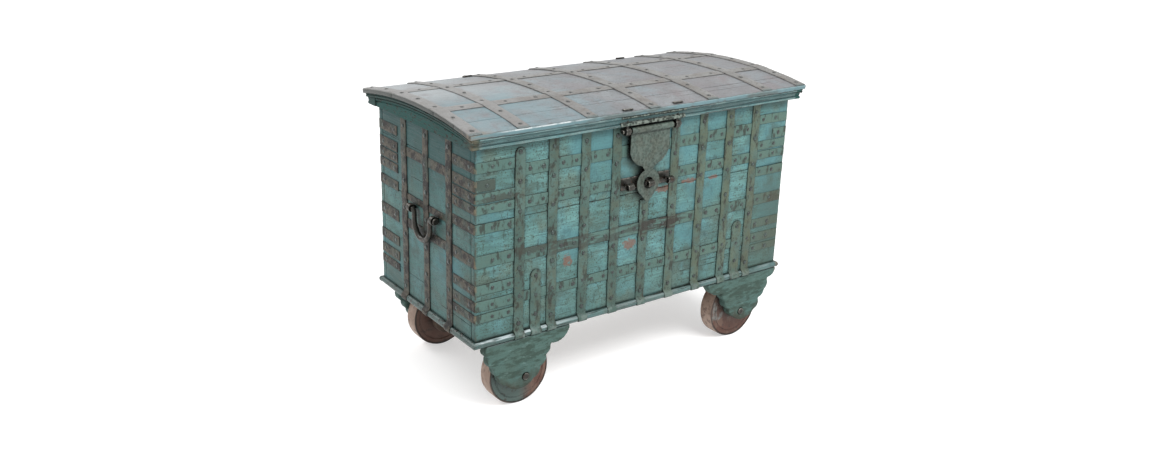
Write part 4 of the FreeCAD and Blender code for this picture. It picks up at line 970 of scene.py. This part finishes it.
def strap(shape, name, path, across, width, rise, round_start=False):
    """A forged strap along a path, with rounded long edges, uneven width and a square or round start."""
    shift = seed_shift(name)
    half = width / 2
    stations, total = walk(path)
    sections = []
    for distance, point, normal in stations:
        narrow, low = 1.0, 1.0
        if round_start:
            narrow = math.sqrt(max(0.03, 1 - (1 - min(distance / half, 1)) ** 2))
        for away in (distance, total - distance):
            low *= 0.45 + 0.55 * math.sqrt(min(away / 0.0015, 1))
        drift = 0.0006 * noise.noise(point * 9 + shift)
        edges = [1 + 0.035 * noise.noise(point * 22 + shift + Vector((side * 9, 0, 0))) for side in (-1, 1)]
        section = []
        for a, b in STRAP_SECTION:
            reach = a * half * narrow * edges[a > 0]
            section.append(point + across * (reach + drift) + normal * (b * rise * low))
        sections.append(section)
    loft(shape, sections)


def crossing(value, rows):
    """How far a strap rises where it bends over others: rows are their (low, high) edges."""
    lift = 0.0
    for low, high in rows:
        lift = max(lift, smooth(value, low - 0.010, low) * smooth(-value, -high - 0.010, -high))
    return lift


# How high each kind of strap stands, and how far the upper ones lift where they cross the lower ones.
UPRIGHT_RISE, CROSS_RISE, CORNER_RISE = 0.0030, 0.0020, 0.0021
LID_LONG_RISE, LID_CROSS_RISE = 0.0020, 0.0031
CROSSING_LIFT = 0.0014


def upright_path(wall, along, top, rows):
    """Down a wall, over the cross straps, and round the bead of the base rail."""
    bead = (RAIL_HIGH.z - RAIL_LOW.z) / 2
    centre = (-RAIL_LOW.y - HALF_DEPTH - bead, RAIL_LOW.z + bead)
    fillet = 0.010
    rise = math.sqrt((bead + fillet) ** 2 - (fillet - centre[0]) ** 2)
    corner = (fillet, centre[1] + rise)
    meeting = math.degrees(math.atan2(rise, fillet - centre[0]))
    path = []
    for z in spaced(top, corner[1], 0.003):
        point = wall_point(wall, along, CROSSING_LIFT * crossing(z, rows), z)
        path.append((point, wall_direction(wall, 1, 0)))
    for out, z in half_round(corner, fillet, 185, 180 + meeting, 5):
        path.append((wall_point(wall, along, out, z), wall_direction(wall, corner[0] - out, corner[1] - z)))
    for out, z in half_round(centre, bead, meeting - 8, -46, 12):
        path.append((wall_point(wall, along, out, z), wall_direction(wall, out - centre[0], z - centre[1])))
    return path


def upright_straps(node, cross_node, walls):
    shape = bmesh.new()
    for index, (low, high) in enumerate(boxes_of(node)):
        for wall in walls:
            if (low, high) not in boxes_on(node, wall):
                continue
            run = WALLS[wall][0]
            middle = (low[run] + high[run]) / 2
            rows = [(under.z, over.z) for under, over in boxes_on(cross_node, wall)
                    if under[run] < middle < over[run]]
            rounded = high.z < LID_FOOT - 0.005 and not low.x < 0 < high.x
            path = upright_path(wall, middle, high.z, rows)
            strap(shape, f"{node}{index}", path, (ALONG_X, ALONG_Y)[run], high[run] - low[run],
                  UPRIGHT_RISE, round_start=rounded)
    add_piece(node, shape, hammered(node))


def cross_straps(node, walls):
    shape = bmesh.new()
    for wall in walls:
        run = WALLS[wall][0]
        for index, (low, high) in enumerate(boxes_on(node, wall)):
            middle = (low.z + high.z) / 2
            ends = [wall_point(wall, along, 0, middle) for along in (low[run], high[run])]
            path = [(end, wall_direction(wall, 1, 0)) for end in ends]
            strap(shape, f"{node}{wall}{index}", path, UPWARD, high.z - low.z, CROSS_RISE)
    add_piece(node, shape, hammered(node))


def corner_path(x_side, y_side, inner_x, inner_y, height, bend=0.002):
    """Along the front or back, round the corner and along the end, at one height."""
    centre = Vector((x_side * (HALF_LENGTH - bend), y_side * (HALF_DEPTH - bend), height))
    facing = Vector((0, y_side, 0))
    path = [(Vector((inner_x, y_side * HALF_DEPTH, height)), facing)]
    for part in range(6):
        angle = math.radians(90 * part / 5)
        normal = Vector((x_side * math.sin(angle), y_side * math.cos(angle), 0))
        path.append((centre + normal * bend, normal))
    path.append((Vector((x_side * HALF_LENGTH, inner_y, height)), Vector((x_side, 0, 0))))
    return path


def corner_straps(node):
    shape = bmesh.new()
    for index, (low, high) in enumerate(boxes_of(node)):
        x_side = 1 if low.x > 0 else -1
        y_side = 1 if low.y > 0 else -1
        inner_x = low.x if x_side > 0 else high.x
        inner_y = low.y if y_side > 0 else high.y
        path = corner_path(x_side, y_side, inner_x, inner_y, (low.z + high.z) / 2)
        strap(shape, f"{node}{index}", path, UPWARD, high.z - low.z, CORNER_RISE)
    add_piece(node, shape, hammered(node))


def lid_long_straps(node="lid_long_straps"):
    shape = bmesh.new()
    for index, (low, high) in enumerate(boxes_of(node)):
        y = (low.y + high.y) / 2
        normal = dome_normal(y)
        path = [(dome_point(x, y, 0), normal) for x in (low.x, high.x)]
        strap(shape, f"{node}{index}", path, ALONG_X.cross(normal), high.y - low.y, LID_LONG_RISE)
    add_piece(node, shape, hammered(node))


def lid_cross_straps(node="lid_cross_straps"):
    rows = [(low.y, high.y) for low, high in boxes_of("lid_long_straps")]
    shape = bmesh.new()
    for index, (low, high) in enumerate(boxes_of(node)):
        middle = (low.x + high.x) / 2
        path = []
        for y in spaced(low.y, high.y, 0.004):
            path.append((dome_point(middle, y, CROSSING_LIFT * crossing(y, rows)), dome_normal(y)))
        strap(shape, f"{node}{index}", path, ALONG_X, high.x - low.x, LID_CROSS_RISE)
    add_piece(node, shape, hammered(node))


def lock_band(node="lock_band"):
    low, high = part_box(node)
    middle = (low.z + high.z) / 2
    path = [(Vector((x, -HALF_DEPTH, middle)), -ALONG_Y) for x in (low.x, high.x)]
    shape = bmesh.new()
    strap(shape, node, path, UPWARD, high.z - low.z, high.y - low.y)
    add_piece(node, shape, hammered(node))


# ------------------------------------------------------------------ nails

# Profile of a nail head from its rim up: share of the radius, share of the height.
HEAD_PROFILE = ((1.0, -0.2), (1.03, 0.22), (0.86, 0.62), (0.52, 0.93))
HEAD_SIDES = 10


def nail_head(shape, chance, centre, direction, radius, height):
    """A hand-forged head: a low uneven dome."""
    across = direction.orthogonal().normalized()
    beside = direction.cross(across)
    lean = across * chance.uniform(-0.12, 0.12) + beside * chance.uniform(-0.12, 0.12)
    axis = (direction + lean).normalized()
    size = radius * chance.uniform(0.85, 1.12)
    uneven = [chance.uniform(0.90, 1.10) for _ in range(HEAD_SIDES)]
    turn = chance.uniform(0, 1)
    rings = []
    for wide, up in HEAD_PROFILE:
        ring = []
        for index in range(HEAD_SIDES):
            angle = 2 * math.pi * (index + turn) / HEAD_SIDES
            spoke = across * math.cos(angle) + beside * math.sin(angle)
            ring.append(centre + spoke * (size * wide * uneven[index]) + axis * (height * up))
        rings.append(ring)
    loft(shape, rings)


def nail_direction(point):
    """Which way the nail at a point faces: out of the nearest wall, or square to the lid."""
    if point.z > LID_EDGE:
        return dome_normal(point.y)
    if abs(point.y) > HALF_DEPTH:
        return Vector((0, math.copysign(1, point.y), 0))
    return Vector((math.copysign(1, point.x), 0, 0))


def nail_heads(node, radius=0.0062, height=0.0028):
    chance = random.Random(node)
    shape = bmesh.new()
    for low, high in boxes_of(node):
        middle = (low + high) / 2
        direction = nail_direction(middle)
        foot = middle - direction * (height / 2 + 0.0004)
        nail_head(shape, chance, foot, direction, radius, height)
    add_piece(node, shape, crease=60)


# ------------------------------------------------------------------ wheels

def wheel(place):
    """A solid wooden wheel with eased edges and a ring groove in both faces."""
    node = f"wheel_{place}"
    low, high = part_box(node)
    centre = (low + high) / 2
    bore, groove, clearance = 0.0120, 0.080, 0.0002
    radius, half = (high.z - low.z) / 2 - clearance, (high.y - low.y) / 2
    face = [(bore, half - 0.001), (0.030, half), (0.055, half - 0.0004), (groove - 0.003, half),
            (groove - 0.0012, half - 0.0018), (groove + 0.0012, half - 0.0018), (groove + 0.003, half),
            (radius - 0.002, half), (radius, half - 0.002)]
    outline = face + [(a, -b) for a, b in reversed(face)]
    shape = bmesh.new()
    turned(shape, thicken(outline, 0.006), centre)
    add_piece(node, shape, wooden(node, "X", ridge=0.0005, warp=0.0008, fine=160))


def tyre(place, nail_count=8):
    """The iron band round a wheel, dented and nailed through its tread."""
    node = f"tyre_{place}"
    low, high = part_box(node)
    centre = (low + high) / 2
    radius, half = (high.z - low.z) / 2, (high.y - low.y) / 2
    inner = radius - 0.004
    ease = 0.0012
    outline = [(inner, half), (radius - ease, half), (radius, half - ease), (radius + 0.0003, 0),
               (radius, ease - half), (radius - ease, -half), (inner, -half)]
    shape = bmesh.new()
    turned(shape, thicken(outline, 0.005), centre, parts=120)
    roughen(shape, hammered(node, depth=0.0007, blow=0.03))
    chance = random.Random(node)
    for index in range(nail_count):
        angle = 2 * math.pi * (index + chance.uniform(-0.15, 0.15)) / nail_count
        spoke = Vector((math.cos(angle), 0, math.sin(angle)))
        spot = centre + spoke * (radius - 0.0010) + Vector((0, chance.uniform(-0.3, 0.3) * half, 0))
        nail_head(shape, chance, spot, spoke, 0.005, 0.0018)
    add_piece(node, shape)


# ------------------------------------------------------------------ carved and forged pieces

def softened(node, voxel, rounds):
    """A CAD node as an even mesh whose edges are worn round."""
    blank = into_scene("blank", frame["nodes"][node].data.copy())
    weld = blank.modifiers.new("weld", "WELD")
    weld.merge_threshold = 1e-6
    remesh = blank.modifiers.new("remesh", "REMESH")
    remesh.mode = "VOXEL"
    remesh.voxel_size = voxel
    wear = blank.modifiers.new("wear", "SMOOTH")
    wear.factor = 0.5
    wear.iterations = rounds
    mesh = bpy.data.meshes.new_from_object(blank.evaluated_get(bpy.context.evaluated_depsgraph_get()))
    shape = bmesh.new()
    shape.from_mesh(mesh)
    bpy.data.objects.remove(blank)
    bpy.data.meshes.remove(mesh)
    return shape


def forged(node, voxel=0.0012, rounds=5, depth=0.0005, blow=0.010, swell=0.0):
    dents = hammered(node, depth, blow)
    add_piece(node, softened(node, voxel, rounds), lambda point: swell + dents(point), crease=75)


def drop_handle(node):
    """A handle that is thickest in the middle of its drop, where the hand takes it."""
    low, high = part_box(node)
    dents = hammered(node, 0.0005, 0.010)

    def field(point):
        return dents(point) + 0.0016 * smooth(-point.z, -high.z + 0.03, -low.z - 0.01)
    add_piece(node, softened(node, 0.0012, 5), field, crease=75)


def carved(node, voxel=0.003):
    add_piece(node, softened(node, voxel, 3), wooden(node, "X", 0.0005, 0.0010, fine=160), crease=75)


# ------------------------------------------------------------------ camera, light and floor

# The view: where the camera stands, its turn from +Y towards +X, its dip and its roll, in degrees.
CAMERA_PLACE = Vector((-1.9267, -2.5478, 1.5468))
CAMERA_TURN, CAMERA_DIP, CAMERA_ROLL = 34.58, 18.05, 1.14
CAMERA_LENS = 32.74
CAMERA_SHIFT = (0.0368, -0.0301)

# The floor glows a little and the sky is white, so that the ground shows almost white round the chest.
FLOOR_GLOW = 0.46
SKY_STRENGTH = 1.06


def add_camera():
    turn, dip, roll = (math.radians(angle) for angle in (CAMERA_TURN, CAMERA_DIP, CAMERA_ROLL))
    ahead = Vector((math.sin(turn) * math.cos(dip), math.cos(turn) * math.cos(dip), -math.sin(dip)))
    level = Vector((math.cos(turn), -math.sin(turn), 0))
    upward = level.cross(ahead)
    right = level * math.cos(roll) + upward * math.sin(roll)
    up = upward * math.cos(roll) - level * math.sin(roll)
    data = bpy.data.cameras.new("camera")
    data.lens = CAMERA_LENS
    data.shift_x, data.shift_y = CAMERA_SHIFT
    camera = into_scene("camera", data)
    axes = Matrix((right, up, -ahead)).transposed().to_4x4()
    camera.matrix_world = Matrix.Translation(CAMERA_PLACE) @ axes
    bpy.context.scene.camera = camera


def add_softbox(name, place, target, size, power):
    """A large soft lamp that faces a point."""
    data = bpy.data.lights.new(name, "AREA")
    data.shape = "RECTANGLE"
    data.size, data.size_y = size
    data.energy = power
    lamp = into_scene(name, data)
    lamp.location = place
    lamp.rotation_mode = "QUATERNION"
    lamp.rotation_quaternion = (Vector(target) - Vector(place)).to_track_quat("-Z", "Y")


def add_room(reach=30):
    """A white floor in even white light, with a large lamp above the front and a smaller one behind."""
    shape = bmesh.new()
    bmesh.ops.create_grid(shape, x_segments=1, y_segments=1, size=reach)
    mesh = bpy.data.meshes.new("floor")
    shape.to_mesh(mesh)
    shape.free()
    paint = Paint("pale_floor", (0.60, 0.60, 0.60, 1))
    paint.coat((0.63, 0.63, 0.63, 1), paint.cloud(2))
    mesh.materials.append(paint.finish(0.95, paint.cloud(40), 0.0001, glow=FLOOR_GLOW))
    ground = into_scene("floor", mesh)
    ground.location.z = CAD_BOX[0].z
    world = bpy.data.worlds.new("studio")
    world.use_nodes = True
    sky = world.node_tree.nodes["Background"].inputs
    sky["Color"].default_value = (1, 1, 1, 1)
    sky["Strength"].default_value = SKY_STRENGTH
    bpy.context.scene.world = world
    add_softbox("key", (0.5, -2.5, 3.1), (0, 0, 0.4), (2.2, 1.2), 130)
    add_softbox("back", (-1.8, 2.0, 2.4), (-0.3, 0, 0.8), (1.6, 1.0), 45)
    bpy.context.scene.view_settings.view_transform = "Standard"


# ------------------------------------------------------------------ assembly

def build():
    for height in ("lower", "upper"):
        for wall in WALLS:
            wall_board(f"{wall}_board_{height}", wall)
    floor_boards()
    for wall in WALLS:
        base_rail(wall)
    for place in ("front", "second", "middle", "back"):
        lid_board(f"lid_board_{place}")
    for wall in ("front", "back"):
        lid_rail(wall)
    for wall in ("left", "right"):
        lid_end(wall)
    for part, walls in {"front": ("front",), "back": ("back",), "end": ("left", "right")}.items():
        upright_straps(f"{part}_upright_straps", f"{part}_cross_straps", walls)
        cross_straps(f"{part}_cross_straps", walls)
    corner_straps("front_corner_straps")
    corner_straps("back_corner_straps")
    lid_long_straps()
    lid_cross_straps()
    lock_band()
    nail_heads("body_nails")
    nail_heads("lid_nails")
    for place in ("front_left", "front_right", "back_left", "back_right"):
        wheel(place)
        tyre(place)
        carved(f"wheel_bracket_{place}")
    carved("wheel_cheeks", voxel=0.004)
    forged("wheel_axles", voxel=0.0018)
    forged("hasp", voxel=0.0011, depth=0.0006, blow=0.009)
    forged("hasp_strip", voxel=0.0007, rounds=2, depth=0.0006, blow=0.004, swell=0.0012)
    for node in ("hasp_pin", "hasp_eyes", "lock_eyes", "handle_eyes", "body_hinge_eyes", "lid_hinge_eyes"):
        forged(node)
    drop_handle("left_handle")
    drop_handle("right_handle")


build()
add_room()
add_camera()
